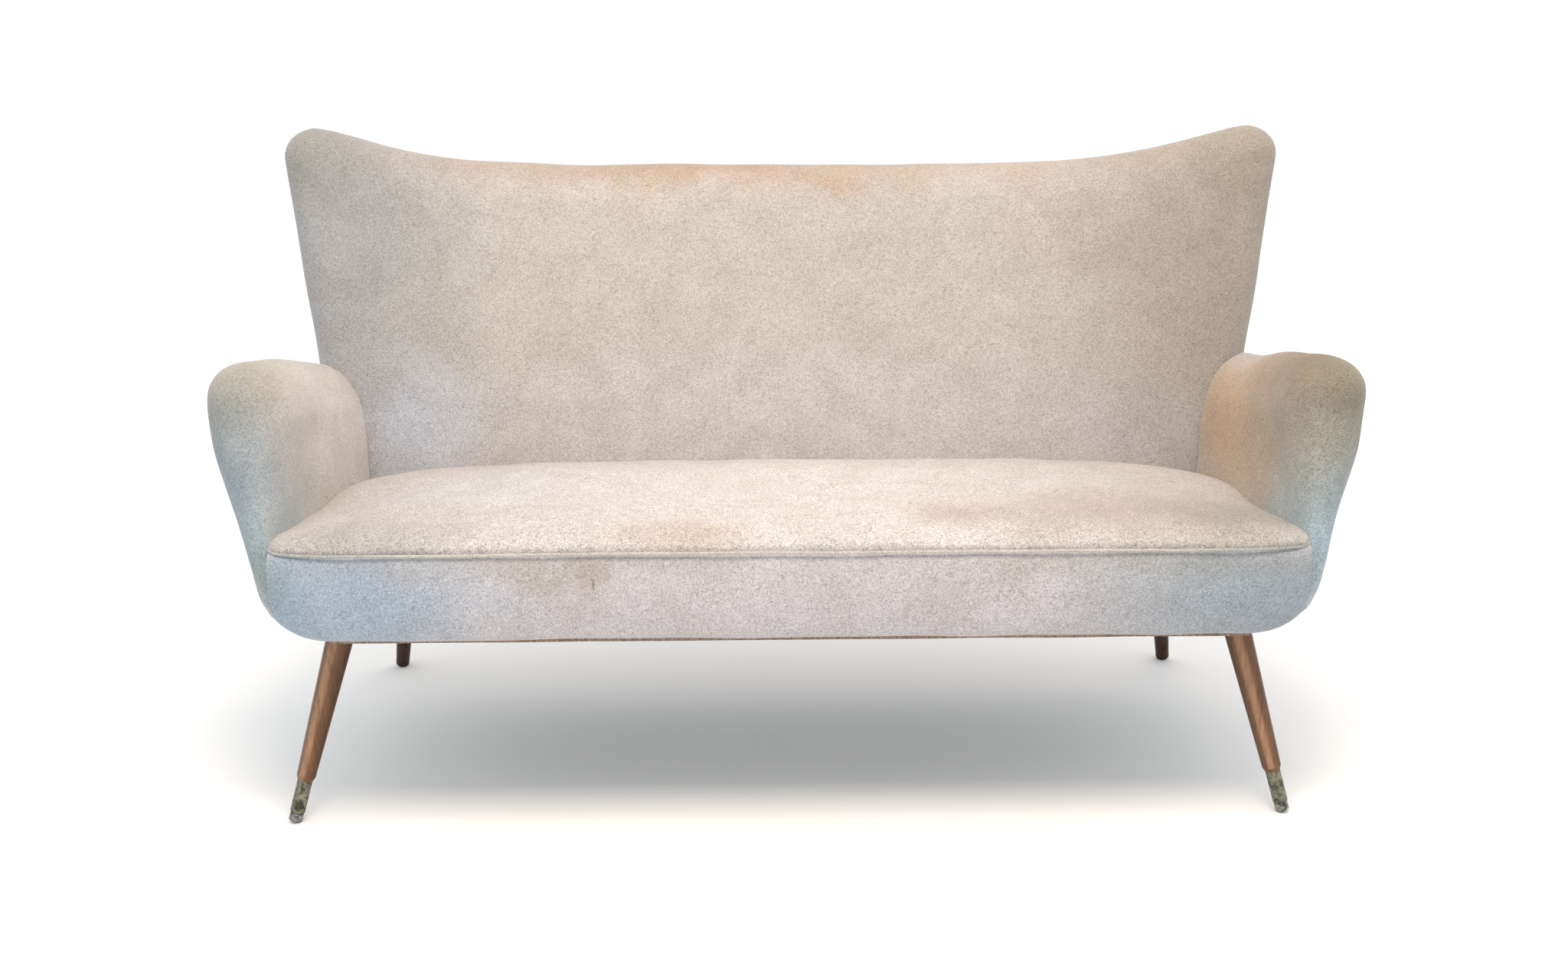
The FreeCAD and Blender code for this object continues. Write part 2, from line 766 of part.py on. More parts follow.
def leg_nodes():
    nodes = {}
    nodes.update(both_sides("front_leg", front_leg()))
    nodes.update(both_sides("rear_leg", rear_leg()))
    nodes.update(both_sides("ferrule", ferrule()))
    nodes.update(both_sides("levelling_foot", levelling_foot()))
    ends = ("front", "rear")
    nodes["leg_plates"] = four_places([leg_plate(side) for side in ends])
    nodes["hanger_bolts"] = four_places([hanger_bolt(side) for side in ends])
    nodes["plate_screws"] = four_places([plate_screws(side) for side in ends])
    nodes["frame_screws"] = four_places([frame_screws()])
    nodes["arm_bolts"] = four_places([arm_bolts()])
    nodes["dust_cover"] = dust_cover()
    nodes["dust_cover_staples"] = dust_cover_staples()
    nodes["front_tack_strip"] = front_tack_strip()
    return nodes


def drilled_frame():
    """The seat frame with the holes for its bolts and screws."""
    holes = []
    for side in ("front", "rear"):
        holes += [hanger_bolt(side, layer_gap), plate_screws(side, joint_gap)]
    holes += [frame_screws(joint_gap), arm_bolts(layer_gap)]
    right = Part.makeCompound(holes)
    left = mirror(right)
    nodes = seat_frame()
    for name, shape in nodes.items():
        if name.endswith("_right"):
            nodes[name] = shape.cut(right)
        elif name.endswith("_left"):
            nodes[name] = shape.cut(left)
    return nodes


def side_step(width):
    """A width across the back as a share of its half width at the seat."""
    return width / back_half_width(welt_z)


def back_boards(grow=0.0):
    """The wooden skeleton of the back, as named boards."""
    foot_z = rail_top_z + joint_gap
    crest_z = back_top_z - crest_drop
    post_half = side_step(post_width) / 2
    post_in = post_share - post_half
    post_out = post_share + post_half
    gap = side_step(joint_gap)
    tack_z = welt_z + tack_rail_lift
    stile = side_step(stile_width) / 2
    wing_in = wing_board_share - side_step(wing_board_thickness) / 2
    wing_out = wing_board_share + side_step(wing_board_thickness) / 2
    wing_low = welt_z + tack_rail_lift
    wing_high = wing_top_z - wing_board_drop
    rail_depth = post_depth - webbing_thickness * 2

    def board(*sizes):
        return back_board(*sizes, grow=grow)

    nodes = {
        "crest_rail": board(-post_in + gap, post_in - gap, crest_z - crest_height, crest_z, rail_depth),
        "tack_rail": board(-post_in + gap, post_in - gap, tack_z, tack_z + tack_rail_height, rail_depth),
        "centre_stile": board(-stile, stile, tack_z + tack_rail_height + joint_gap,
                              crest_z - crest_height - joint_gap, rail_depth),
    }
    nodes.update(both_sides("back_post", board(post_in, post_out, foot_z, crest_z, post_depth)))
    nodes.update(both_sides("wing_board", board(wing_in, wing_out, wing_low, wing_high, wing_board_depth)))
    top_block = board(post_out + gap, wing_in - gap, crest_z - wing_block_height, crest_z, wing_board_depth)
    low_block = board(post_out + gap, wing_in - gap, tack_z, tack_z + wing_block_height, wing_board_depth)
    nodes.update(both_sides("wing_blocks", Part.makeCompound([top_block, low_block])))
    return nodes


def arm_post(grow=0.0):
    length = arm_rear_y - arm_front_y
    start = arm_post_share
    end = arm_post_share + arm_post_depth / length

    def low(sizes):
        return underside_height + joint_gap

    def high(sizes):
        return sizes["top_z"] - sizes["radius"] + arm_rail_height / 2

    return arm_board(start, end, low, high, arm_post_thickness, grow)


def arm_rail(grow=0.0):
    length = arm_rear_y - arm_front_y
    start = arm_post_share + (arm_post_depth + joint_gap) / length

    def low(sizes):
        return sizes["top_z"] - sizes["radius"] - arm_rail_height / 2

    def high(sizes):
        return sizes["top_z"] - sizes["radius"] + arm_rail_height / 2

    return arm_board(start, arm_rail_end_share, low, high, arm_rail_thickness, grow)


# Suspension

clip_bottom_z = rail_top_z
spring_z = clip_bottom_z + clip_sheet + layer_gap + spring_wire / 2
clip_top_z = spring_z + spring_wire / 2 + layer_gap + clip_sheet
hessian_z = clip_top_z + layer_gap


def spring_ends():
    front = front_rail_y + rail_thickness / 2
    rear = rear_rail_y + rail_thickness / 2
    return front, rear


def sinuous_spring(x):
    """A zigzag wire: straight bars across, joined by half turns at alternate sides."""
    front, rear = spring_ends()
    bars = int((rear - front) / spring_bar_spacing)
    step = (rear - front) / bars
    half = spring_width / 2 - step / 2
    edges = []
    for index in range(bars + 1):
        y = front + index * step
        side = 1 if index % 2 == 0 else -1
        edges.append(line(vec(x - side * half, y, spring_z), vec(x + side * half, y, spring_z)))
        if index < bars:
            turn_x = x + side * half
            edges.append(arc(vec(turn_x, y, spring_z), vec(turn_x + side * step / 2, y + step / 2, spring_z),
                             vec(turn_x, y + step, spring_z)))
    path = Part.Wire(edges)
    start = path.Edges[0].Vertexes[0].Point
    section = Part.Wire(Part.Circle(start, vec(1, 0, 0), spring_wire / 2).toShape())
    return path.makePipeShell([section], True, False)


def spring_places():
    first = -(spring_count - 1) / 2 * spring_pitch
    return [first + index * spring_pitch for index in range(spring_count)]


def seat_springs():
    one = sinuous_spring(0.0)
    return Part.makeCompound([one.translated(vec(x, 0, 0)) for x in spring_places()])


def spring_clip(x, y, mouth):
    """A folded steel clip nailed to the rail; its mouth opens towards the springs' middle."""
    hold = spring_wire / 2 + layer_gap
    y_back = y - mouth * (hold + clip_sheet)
    y_front = y_back + mouth * clip_depth / 2
    outline = [
        (y_front, clip_bottom_z), (y_back, clip_bottom_z), (y_back, clip_top_z), (y_front, clip_top_z),
        (y_front, clip_top_z - clip_sheet), (y_back + mouth * clip_sheet, clip_top_z - clip_sheet),
        (y_back + mouth * clip_sheet, clip_bottom_z + clip_sheet), (y_front, clip_bottom_z + clip_sheet),
    ]
    points = [vec(x - clip_width / 2, py, pz) for py, pz in outline]
    face = Part.Face(Part.makePolygon(points + points[:1]))
    return face.extrude(vec(clip_width, 0, 0))


def spring_clips():
    front, rear = spring_ends()
    clips = []
    for x in spring_places():
        clips.append(spring_clip(x, front, 1))
        clips.append(spring_clip(x, rear, -1))
    return Part.makeCompound(clips)


def seat_hessian():
    """One sheet over the springs, notched round the back posts."""
    sheet = box(-block_out_x, block_out_x, front_rail_y, rear_rail_y + rail_thickness / 2,
                hessian_z, hessian_z + hessian_thickness)
    boards = back_boards(layer_gap)
    return sheet.cut(boards["back_post_right"]).cut(boards["back_post_left"])


def back_webbing(grow=0.0):
    """Level straps tacked to the front of the posts."""
    straps = []
    edge = post_share + side_step(post_width) / 2
    first_z = welt_z + tack_rail_lift + tack_rail_height
    offset = -(post_depth / 2 + webbing_thickness / 2 + layer_gap)
    for index in range(webbing_count):
        z = first_z + index * webbing_pitch
        straps.append(back_board(-edge, edge, z, z + webbing_width, webbing_thickness, offset, grow))
    return Part.makeCompound(straps)


# Upholstery


def back_panel_region(grow=0.0):
    """The window in the back cover that the outside back panel fills."""
    edge = 1 - (back_panel_inset - grow) / back_half_width_high
    places = [row[0] for row in back_section_shares if row[0] < edge] + [edge]
    spread = [-place for place in reversed(places[1:])] + places
    wires = []
    for place in spread:
        rise, forward, thick = back_shares_at(place)
        top_z = back_top_z + wing_rise * rise - back_thickness(back_top_z) * top_round_share + grow
        low_z = back_bottom_z - cut_overrun
        points = []
        for z, outward in ((low_z, False), (low_z, True), (top_z, True), (top_z, False)):
            half = back_thickness(z) * thick / 2
            offset = half + cut_overrun if outward else half - panel_cut_depth
            points.append(back_point(place, z, offset))
        wires.append(Part.makePolygon(points + points[:1]))
    return closed_loft(wires, ruled=True)


def back_nodes():
    reach = overall_depth
    skin = back_form().cut(back_form(fabric_thickness))
    below_pad = box(-base_half_width - reach, base_half_width + reach, -reach, reach, 0, seat_bottom_z)
    padding = back_form(fabric_thickness + layer_gap).cut(below_pad)
    cutters = list(back_boards(layer_gap).values()) + [back_webbing(layer_gap)]
    frame_x = side_rail_out_x + layer_gap
    frame_room = box(-frame_x, frame_x, -reach, rear_rail_y + rail_thickness + layer_gap, 0, seat_bottom_z)
    skin = skin.cut(frame_room)
    return {
        "inside_back_cover": skin.cut(back_panel_region(layer_gap)),
        "outside_back_cover": skin.common(back_panel_region()),
        "back_padding": padding.cut(Part.makeCompound(cutters)),
    }


def arm_nodes(grown_back):
    skin = arm_form().cut(arm_form(fabric_thickness)).cut(grown_back).cut(arm_bolts(layer_gap))
    padding = arm_form(fabric_thickness + layer_gap).cut(grown_back).cut(arm_bolts(layer_gap))
    padding = padding.cut(arm_post(layer_gap)).cut(arm_rail(layer_gap))
    nodes = both_sides("arm_cover", skin)
    nodes.update(both_sides("arm_padding", padding))
    nodes.update(both_sides("arm_post", arm_post().cut(arm_bolts(layer_gap))))
    nodes.update(both_sides("arm_rail", arm_rail()))
    return nodes


def grown_arms():
    """Both arms a little larger, to clear what meets them."""
    right = arm_form(-form_gap)
    return Part.makeCompound([right, mirror(right)])


def seat_nodes(arms):
    clear = fabric_thickness + seat_pad_gap
    reach = overall_depth
    border_rear_y = seat_front_y + front_corner_radius
    front_room = box(-reach, reach, -reach, border_rear_y, 0, welt_z - welt_diameter / 2)
    padding = seat_form(clear).cut(front_room.cut(border_form(clear)))
    return {"seat_cover": seat_cover_form().cut(arms), "seat_padding": padding.cut(arms)}


def border_nodes(arms):
    below_welt = welt_z - welt_diameter / 2 - layer_gap
    reach = overall_depth
    inner = Part.makeCompound([
        box(-block_out_x - layer_gap, block_out_x + layer_gap, front_rail_y - layer_gap, reach, 0, reach),
        box(-side_rail_out_x - layer_gap, side_rail_out_x + layer_gap,
            front_rail_y + rail_thickness - layer_gap, reach, 0, reach),
    ])
    above = box(-reach, reach, -reach, reach, below_welt, reach)
    behind = box(-reach, reach, arm_front_y + border_behind_arm_front, reach, 0, reach)
    hollow = border_form(fabric_thickness)
    skin = border_form().cut(hollow).cut(above).cut(inner).cut(behind)
    padding = border_form(fabric_thickness + layer_gap).cut(inner).cut(behind)
    upper = box(-reach, reach, -reach, reach, seat_bottom_z - layer_gap, reach)
    return {
        "front_border_cover": skin.cut(arms),
        "front_border_padding": padding.cut(upper).cut(arms),
    }


def seat_welt():
    """The piping along the seat's front edge, round both front corners up to the arms."""
    radius = welt_diameter / 2
    end_angle = math.radians(welt_end_angle_deg)
    start = vec(math.cos(end_angle), -math.sin(end_angle), 0)
    inset = fabric_thickness + layer_gap - form_gap - radius
    corner = front_corner_radius - inset
    y_front = seat_front_y + inset
    centre_y = seat_front_y + front_corner_radius

    def at(angle):
        return vec(corner_start_x + corner * math.sin(angle), centre_y - corner * math.cos(angle), welt_z)

    def left_at(angle):
        point = at(angle)
        return vec(-point.x, point.y, point.z)

    path = Part.Wire([
        arc(left_at(end_angle), left_at(end_angle / 2), left_at(0)),
        line(left_at(0), at(0)),
        arc(at(0), at(end_angle / 2), at(end_angle)),
    ])
    section = Part.Wire(Part.Circle(left_at(end_angle), start, radius).toShape())
    return path.makePipeShell([section], True, False)


nodes = {}
nodes.update(drilled_frame())
nodes.update(leg_nodes())
nodes.update(back_boards())
nodes["back_webbing"] = back_webbing()
nodes["seat_springs"] = seat_springs()
nodes["spring_clips"] = spring_clips()
nodes["seat_hessian"] = seat_hessian()
grown_back = back_form(-form_gap)
arms = grown_arms()
nodes.update(back_nodes())
nodes.update(arm_nodes(grown_back))
nodes.update(seat_nodes(arms))
nodes.update(border_nodes(arms))
nodes["seat_welt"] = seat_welt()

os.makedirs("parts", exist_ok=True)
for name, shape in nodes.items():
    shape.exportStep("parts/" + name + ".step")
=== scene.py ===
import math
import bmesh
import bpy
from mathutils import Matrix, Vector, noise


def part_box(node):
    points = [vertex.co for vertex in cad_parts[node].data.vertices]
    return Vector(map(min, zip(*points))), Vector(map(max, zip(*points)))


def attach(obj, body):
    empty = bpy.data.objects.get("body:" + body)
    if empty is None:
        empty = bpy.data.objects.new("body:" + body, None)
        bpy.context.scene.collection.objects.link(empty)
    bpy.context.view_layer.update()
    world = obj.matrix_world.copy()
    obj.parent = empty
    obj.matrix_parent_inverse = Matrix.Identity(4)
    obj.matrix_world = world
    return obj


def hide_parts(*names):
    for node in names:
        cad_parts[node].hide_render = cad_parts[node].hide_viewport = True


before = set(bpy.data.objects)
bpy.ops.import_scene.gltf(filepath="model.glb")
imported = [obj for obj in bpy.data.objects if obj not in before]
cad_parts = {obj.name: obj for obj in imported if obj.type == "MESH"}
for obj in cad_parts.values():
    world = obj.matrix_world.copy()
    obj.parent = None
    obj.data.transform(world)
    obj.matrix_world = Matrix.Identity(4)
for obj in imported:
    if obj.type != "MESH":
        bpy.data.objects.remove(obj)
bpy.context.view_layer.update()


# Hidden frame: beech rails, blocks, posts and boards, sawn, planed and screwed together.
# The cloth closes over all of it, so its finish is plain oiled timber.

beech_pale = (0.56, 0.38, 0.22)
beech_dark = (0.34, 0.20, 0.10)
rail_grain_m = 0.006
rail_grain_along = (0.12, 1.0, 1.0)
grain_share = 0.6
grain_depth_m = 0.0004


def new_finish(name):
    """A material with its nodes, its links, its shader and the place on the sofa as a vector."""
    finish = bpy.data.materials.new(name)
    finish.use_nodes = True
    nodes = finish.node_tree.nodes
    place = nodes.new("ShaderNodeTexCoord").outputs["Object"]
    return finish, nodes, finish.node_tree.links, nodes["Principled BSDF"], place


def set_to(node, values):
    """Set a node's inputs by their names."""
    for name, value in values.items():
        node.inputs[name].default_value = value


def stretched(nodes, links, place, scale):
    mapping = nodes.new("ShaderNodeMapping")
    set_to(mapping, {"Scale": scale})
    links.new(place, mapping.inputs["Vector"])
    return mapping.outputs["Vector"]


def mottle(nodes, links, place, size_m, detail=3.0, distortion=0.0):
    """A cloudy pattern whose blotches are about size_m across."""
    node = nodes.new("ShaderNodeTexNoise")
    set_to(node, {"Scale": 1 / size_m, "Detail": detail, "Distortion": distortion})
    links.new(place, node.inputs["Vector"])
    return node.outputs[0]


def shaded(nodes, links, value, stops):
    """Colours along a value, as (place, colour) stops."""
    node = nodes.new("ShaderNodeValToRGB")
    elements = node.color_ramp.elements
    while len(elements) < len(stops):
        elements.new(0.5)
    for element, (position, colour) in zip(elements, stops):
        element.position = position
        element.color = (*colour, 1.0)
    links.new(value, node.inputs["Fac"])
    return node.outputs["Color"]


def feed(links, socket, value):
    """Give a socket a number, a colour or a vector, or what another socket holds."""
    if isinstance(value, float):
        socket.default_value = value
    elif isinstance(value, tuple):
        socket.default_value = (*value, 1.0)[:len(socket.default_value)]
    else:
        links.new(value, socket)


def worked(nodes, links, operation, *values, kind="", result=0):
    """Numbers worked on, or vectors where the kind is Vector."""
    node = nodes.new("ShaderNode" + kind + "Math")
    node.operation = operation
    for socket, value in zip(node.inputs, values):
        feed(links, socket, value)
    return node.outputs[result]


def summed(nodes, links, first, second, first_share):
    """Two patterns added, the first with its share and the second with the rest."""
    return worked(nodes, links, "ADD", worked(nodes, links, "MULTIPLY", first, first_share),
                  worked(nodes, links, "MULTIPLY", second, 1 - first_share))


def roughened(nodes, links, shader, value, lowest, highest):
    """Roughness that follows a value from its lowest to its highest."""
    rough = nodes.new("ShaderNodeMapRange")
    set_to(rough, {"To Min": lowest, "To Max": highest})
    links.new(value, rough.inputs["Value"])
    links.new(rough.outputs["Result"], shader.inputs["Roughness"])


def raised(nodes, links, shader, height, strength, depth_m):
    bump = nodes.new("ShaderNodeBump")
    set_to(bump, {"Strength": strength, "Distance": depth_m})
    links.new(height, bump.inputs["Height"])
    links.new(bump.outputs["Normal"], shader.inputs["Normal"])


def timber_finish(name, pale, dark, grain_m, along, roughness):
    """Sawn or turned wood whose grain runs along one axis, given as its stretch in X, Y and Z."""
    finish, nodes, links, shader, place = new_finish(name)
    grain = mottle(nodes, links, stretched(nodes, links, place, along), grain_m, detail=6.0, distortion=0.6)
    streak = mottle(nodes, links, stretched(nodes, links, place, along), grain_m * 6, detail=2.0)
    both = summed(nodes, links, grain, streak, grain_share)
    links.new(shaded(nodes, links, both, [(0.36, dark), (0.66, pale)]), shader.inputs["Base Color"])
    roughened(nodes, links, shader, grain, roughness - 0.08, roughness + 0.10)
    raised(nodes, links, shader, grain, strength=0.25, depth_m=grain_depth_m)
    return finish


def dress(node_name, finish):
    """Give a piece that stays as it was built its finish."""
    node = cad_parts[node_name]
    node.data.materials.clear()
    node.data.materials.append(finish)


beech = timber_finish("sawn_beech", beech_pale, beech_dark, rail_grain_m, rail_grain_along, roughness=0.62)
for frame_piece in ("front_rail", "rear_rail", "centre_brace", "crest_rail", "tack_rail", "centre_stile"):
    dress(frame_piece, beech)
for frame_piece in ("side_rail_", "front_leg_block_", "rear_leg_block_", "back_post_", "wing_board_",
                    "wing_blocks_", "arm_post_", "arm_rail_"):
    for side in ("left", "right"):
        dress(frame_piece + side, beech)


# Suspension: nine zigzag springs of black-lacquered wire in nailed clips, under a sheet of hessian,
# and four straps of jute webbing across the back posts. All of it is shut in by the upholstery.

wire_bright = (0.05, 0.05, 0.055)
wire_dull = (0.03, 0.03, 0.03)
zinc_bright = (0.52, 0.52, 0.50)
zinc_dull = (0.30, 0.29, 0.27)
metal_dent_m = 0.0003
jute_pale = (0.46, 0.33, 0.18)
jute_dark = (0.24, 0.16, 0.08)
jute_depth_m = 0.0008
# At this scale of the wave texture the yarns lie 14 mm apart
jute_weave_scale = 22.7272727


def metal_finish(name, bright, dull, patch_m, roughness):
    """Metal that has dulled in patches."""
    finish, nodes, links, shader, place = new_finish(name)
    patches = mottle(nodes, links, place, patch_m, detail=6.0, distortion=0.8)
    links.new(shaded(nodes, links, patches, [(0.38, dull), (0.62, bright)]), shader.inputs["Base Color"])
    roughened(nodes, links, shader, patches, roughness + 0.22, roughness - 0.08)
    shader.inputs["Metallic"].default_value = 1.0
    raised(nodes, links, shader, patches, strength=0.12, depth_m=metal_dent_m)
    return finish


def jute_finish():
    """Coarse plain-woven jute."""
    finish, nodes, links, shader, place = new_finish("jute")
    threads = []
    for direction in ("X", "Y"):
        wave = nodes.new("ShaderNodeTexWave")
        wave.bands_direction = direction
        set_to(wave, {"Scale": jute_weave_scale, "Distortion": 1.5})
        links.new(place, wave.inputs["Vector"])
        threads.append(wave.outputs["Fac"])
    weave = worked(nodes, links, "MULTIPLY", *threads)
    links.new(shaded(nodes, links, weave, [(0.1, jute_dark), (0.7, jute_pale)]), shader.inputs["Base Color"])
    shader.inputs["Roughness"].default_value = 0.95
    raised(nodes, links, shader, weave, strength=0.5, depth_m=jute_depth_m)
    return finish


spring_wire = metal_finish("lacquered_wire", wire_bright, wire_dull, patch_m=0.01, roughness=0.45)
zinc = metal_finish("zinc_plate", zinc_bright, zinc_dull, patch_m=0.006, roughness=0.38)
dress("seat_springs", spring_wire)
for steel_piece in ("spring_clips", "frame_screws", "arm_bolts", "hanger_bolts", "leg_plates",
                    "plate_screws", "dust_cover_staples"):
    dress(steel_piece, zinc)
jute = jute_finish()
dress("seat_hessian", jute)
dress("back_webbing", jute)


# Legs: turned and tapered hardwood, stained mid brown and varnished, bolted up into the corner blocks.
# The front pair has a painted highlight down its front, a little to the left, and painted shade on its sides;
# the rear pair is darker all round, partly darker wood and partly painted shade.

leg_pale = (0.200, 0.096, 0.043)
leg_dark = (0.100, 0.046, 0.020)
# The rear legs' colours are partly darker wood and partly painted shade
rear_leg_pale_with_shade = (0.065, 0.033, 0.016)
rear_leg_dark_with_shade = (0.026, 0.013, 0.007)
leg_grain_m = 0.0035
leg_grain_along = (1.0, 1.0, 0.10)
varnish_shine = 0.15
# The direction that the painted highlight on the front legs faces
highlight_facing = (-0.30, -0.95, 0.10)
# Colours to multiply the wood by: painted shade where it is turned away, a painted highlight where it faces
# the highlight's direction
shade_and_highlight_stops = [(0.30, (0.50, 0.47, 0.45)), (0.90, (0.95, 0.95, 0.95)), (0.992, (1.9, 2.2, 2.8))]


def multiplied(nodes, links, share, colour, by):
    """A colour multiplied in part by another, each a socket or a plain value."""
    node = nodes.new("ShaderNodeMix")
    node.data_type = "RGBA"
    node.blend_type = "MULTIPLY"
    feed(links, node.inputs[0], share)
    feed(links, node.inputs[6], colour)
    feed(links, node.inputs[7], by)
    return node.outputs[2]


def leg_finish(name, pale, dark, roughness, coat_weight, coat_roughness):
    """Stained wood with its grain along the leg, under a coat of varnish."""
    finish = timber_finish(name, pale, dark, leg_grain_m, leg_grain_along, roughness)
    set_to(finish.node_tree.nodes["Principled BSDF"], {
        "Specular IOR Level": varnish_shine, "Coat Weight": coat_weight, "Coat Roughness": coat_roughness})
    return finish


def highlight_painted_on(finish):
    """Paint a highlight down the side of the wood that faces one way, and shade on the sides turned away."""
    nodes, links = finish.node_tree.nodes, finish.node_tree.links
    shader = nodes["Principled BSDF"]
    facing = nodes.new("ShaderNodeTexCoord").outputs["Normal"]
    toward = worked(nodes, links, "DOT_PRODUCT", facing, highlight_facing, kind="Vector", result="Value")
    lit_and_shaded = shaded(nodes, links, toward, shade_and_highlight_stops)
    stain = shader.inputs["Base Color"].links[0].from_socket
    links.new(multiplied(nodes, links, 1.0, stain, lit_and_shaded), shader.inputs["Base Color"])


front_leg_wood_and_highlight = leg_finish("brown_varnished_wood", leg_pale, leg_dark, roughness=0.42,
                            coat_weight=0.30, coat_roughness=0.24)
rear_leg_wood_and_shade = leg_finish("dark_wood_and_painted_shade", rear_leg_pale_with_shade, rear_leg_dark_with_shade, roughness=0.46,
                           coat_weight=0.06, coat_roughness=0.35)
# A painted highlight down the front of the front legs, with painted shade on their sides
highlight_painted_on(front_leg_wood_and_highlight)
for side in ("left", "right"):
    dress("front_leg_" + side, front_leg_wood_and_highlight)
    dress("rear_leg_" + side, rear_leg_wood_and_shade)


# Ferrules and feet: thin brass cups over the ends of the front legs, tarnished grey-green and rubbed
# bright in spots, each with a domed steel foot on a thread that levels the sofa.

brass_rubbed = (0.25, 0.245, 0.175)
brass_tarnished = (0.055, 0.060, 0.048)
steel_rubbed = (0.36, 0.36, 0.34)
steel_dull = (0.06, 0.06, 0.056)

tarnished_brass = metal_finish("tarnished_brass", brass_rubbed, brass_tarnished, patch_m=0.011,
                               roughness=0.34)
foot_steel = metal_finish("foot_steel", steel_rubbed, steel_dull, patch_m=0.009, roughness=0.30)
for side in ("left", "right"):
    dress("ferrule_" + side, tarnished_brass)
    dress("levelling_foot_" + side, foot_steel)


# Back: one padded panel over posts and wing boards, concave in front, with an ear at each top corner.
# Looped wool cloth is drawn over it in one piece and turned round the top and the sides.

cloth_dark = (0.262, 0.243, 0.225)
cloth_pale = (0.500, 0.468, 0.436)
loop_m = 0.0024
curl_m = 0.0055
cloud_m = 0.06
cloud_dark = (0.94, 0.93, 0.915)
cloud_pale = (1.04, 1.04, 1.04)
loop_share = 0.6
nap_depth_m = 0.0016
patch_drift_m = 0.11
patch_fades_from = 0.15
crease_m = 0.016
crease_along = (0.25, 0.25, 1.0)
crease_depth_m = 0.012
wool_roughness = 0.93
sheen_weight = 0.18
sheen_roughness = 0.55
sheen_tint = (1.0, 0.97, 0.93, 1.0)
back_lowest, back_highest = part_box("inside_back_cover")
back_half_low = 0.751
back_half_high = 0.845
back_bottom_z = back_lowest[2]
back_top_z = 0.905
wing_top_z = back_highest[2]
seat_line_z = 0.435
back_front_at_seat_y = 0.1617
back_slope = 0.150 / 0.470
back_thick_low = 0.116
back_thick_high = 0.102
back_belly = 0.011
back_rear_belly = 0.005
wing_reach = 0.104
ear_peak_share = 0.935
ear_side_drop = 0.052
edge_round = 0.052
back_step = 0.016
side_points = 30
top_points = 90
weld_m = 0.00002
# Places across the back as shares of its half width, with shares of the ears' rise and of their reach
top_line_shares = [(0.0, 0.0), (0.35, 0.005), (0.50, 0.04), (0.60, 0.105), (0.68, 0.195), (0.75, 0.335),
                   (0.81, 0.52), (0.87, 0.745), (0.91, 0.90), (ear_peak_share, 0.965)]
reach_shares = [(0.0, 0.0), (0.30, 0.01), (0.52, 0.05), (0.66, 0.14), (0.76, 0.30), (0.84, 0.51),
                (0.90, 0.71), (0.96, 0.90), (1.0, 1.0)]


def mix(a, b, share):
    return a + (b - a) * share


def clamped(share):
    return min(max(share, 0.0), 1.0)


def smooth_through(table, place):
    """A smooth curve through a table of (place, value)."""
    last = len(table) - 2
    index = max(i for i in range(last + 1) if i == 0 or table[i][0] <= place)
    (x0, y0), (x1, y1) = table[index], table[index + 1]

    def slope(i):
        if i == 0:
            return 0.0
        if i == last + 1:
            return (table[i][1] - table[i - 1][1]) / (table[i][0] - table[i - 1][0])
        return (table[i + 1][1] - table[i - 1][1]) / (table[i + 1][0] - table[i - 1][0])

    run = x1 - x0
    t = clamped((place - x0) / run)
    return ((2 * t ** 3 - 3 * t ** 2 + 1) * y0 + (t ** 3 - 2 * t ** 2 + t) * run * slope(index)
            + (3 * t ** 2 - 2 * t ** 3) * y1 + (t ** 3 - t ** 2) * run * slope(index + 1))


def back_half_at(z):
    return mix(back_half_low, back_half_high, (z - back_bottom_z) / (wing_top_z - back_bottom_z))


def back_top_at(share):
    """Height of the back's top edge at a place across it; the ears end in a rounded corner."""
    share = abs(share)
    rise = wing_top_z - back_top_z
    if share <= ear_peak_share:
        return back_top_z + rise * smooth_through(top_line_shares, share)
    across = (share - ear_peak_share) / (1 - ear_peak_share)
    peak = top_line_shares[-1][1] * rise
    return back_top_z + peak - ear_side_drop * (1 - math.sqrt(max(0.0, 1 - across * across)))


def back_thick_at(z):
    return mix(back_thick_low, back_thick_high, (z - back_bottom_z) / (back_top_z - back_bottom_z))


def back_fullness_at(z):
    """One at half the back's height, falling to nothing at its top and bottom."""
    off_middle = (z - mix(back_bottom_z, back_top_z, 0.5)) / (back_top_z - back_bottom_z) * 2
    return 1 - min(1.0, off_middle * off_middle)


def back_middle_at(share, z):
    """How far to the rear the middle of the back's thickness lies."""
    height = (z - back_bottom_z) / (wing_top_z - back_bottom_z)
    forward = wing_reach * smooth_through(reach_shares, min(abs(share), 1.0)) * height
    return back_front_at_seat_y + (z - seat_line_z) * back_slope - forward + back_thick_at(z) / 2


def back_outline():
    """The back's edge as seen from the front, from one lower corner round to the other."""
    lowest, side_top = back_bottom_z - edge_round, back_top_at(1.0)
    heights = [mix(lowest, side_top, index / side_points) for index in range(side_points + 1)]
    right = [(back_half_at(z), z) for z in heights]
    for index in range(1, top_points + 1):
        share = math.cos(math.pi / 2 * index / top_points)
        z = back_top_at(share)
        right.append((share * back_half_at(z), z))
    return right + [(-x, z) for x, z in reversed(right[:-1])]


def distance_to(outline, x, z):
    """How far a place is from an open outline."""
    nearest = math.inf
    for (x0, z0), (x1, z1) in zip(outline, outline[1:]):
        dx, dz = x1 - x0, z1 - z0
        t = clamped(((x - x0) * dx + (z - z0) * dz) / (dx * dx + dz * dz))
        nearest = min(nearest, math.hypot(x - x0 - t * dx, z - z0 - t * dz))
    return nearest


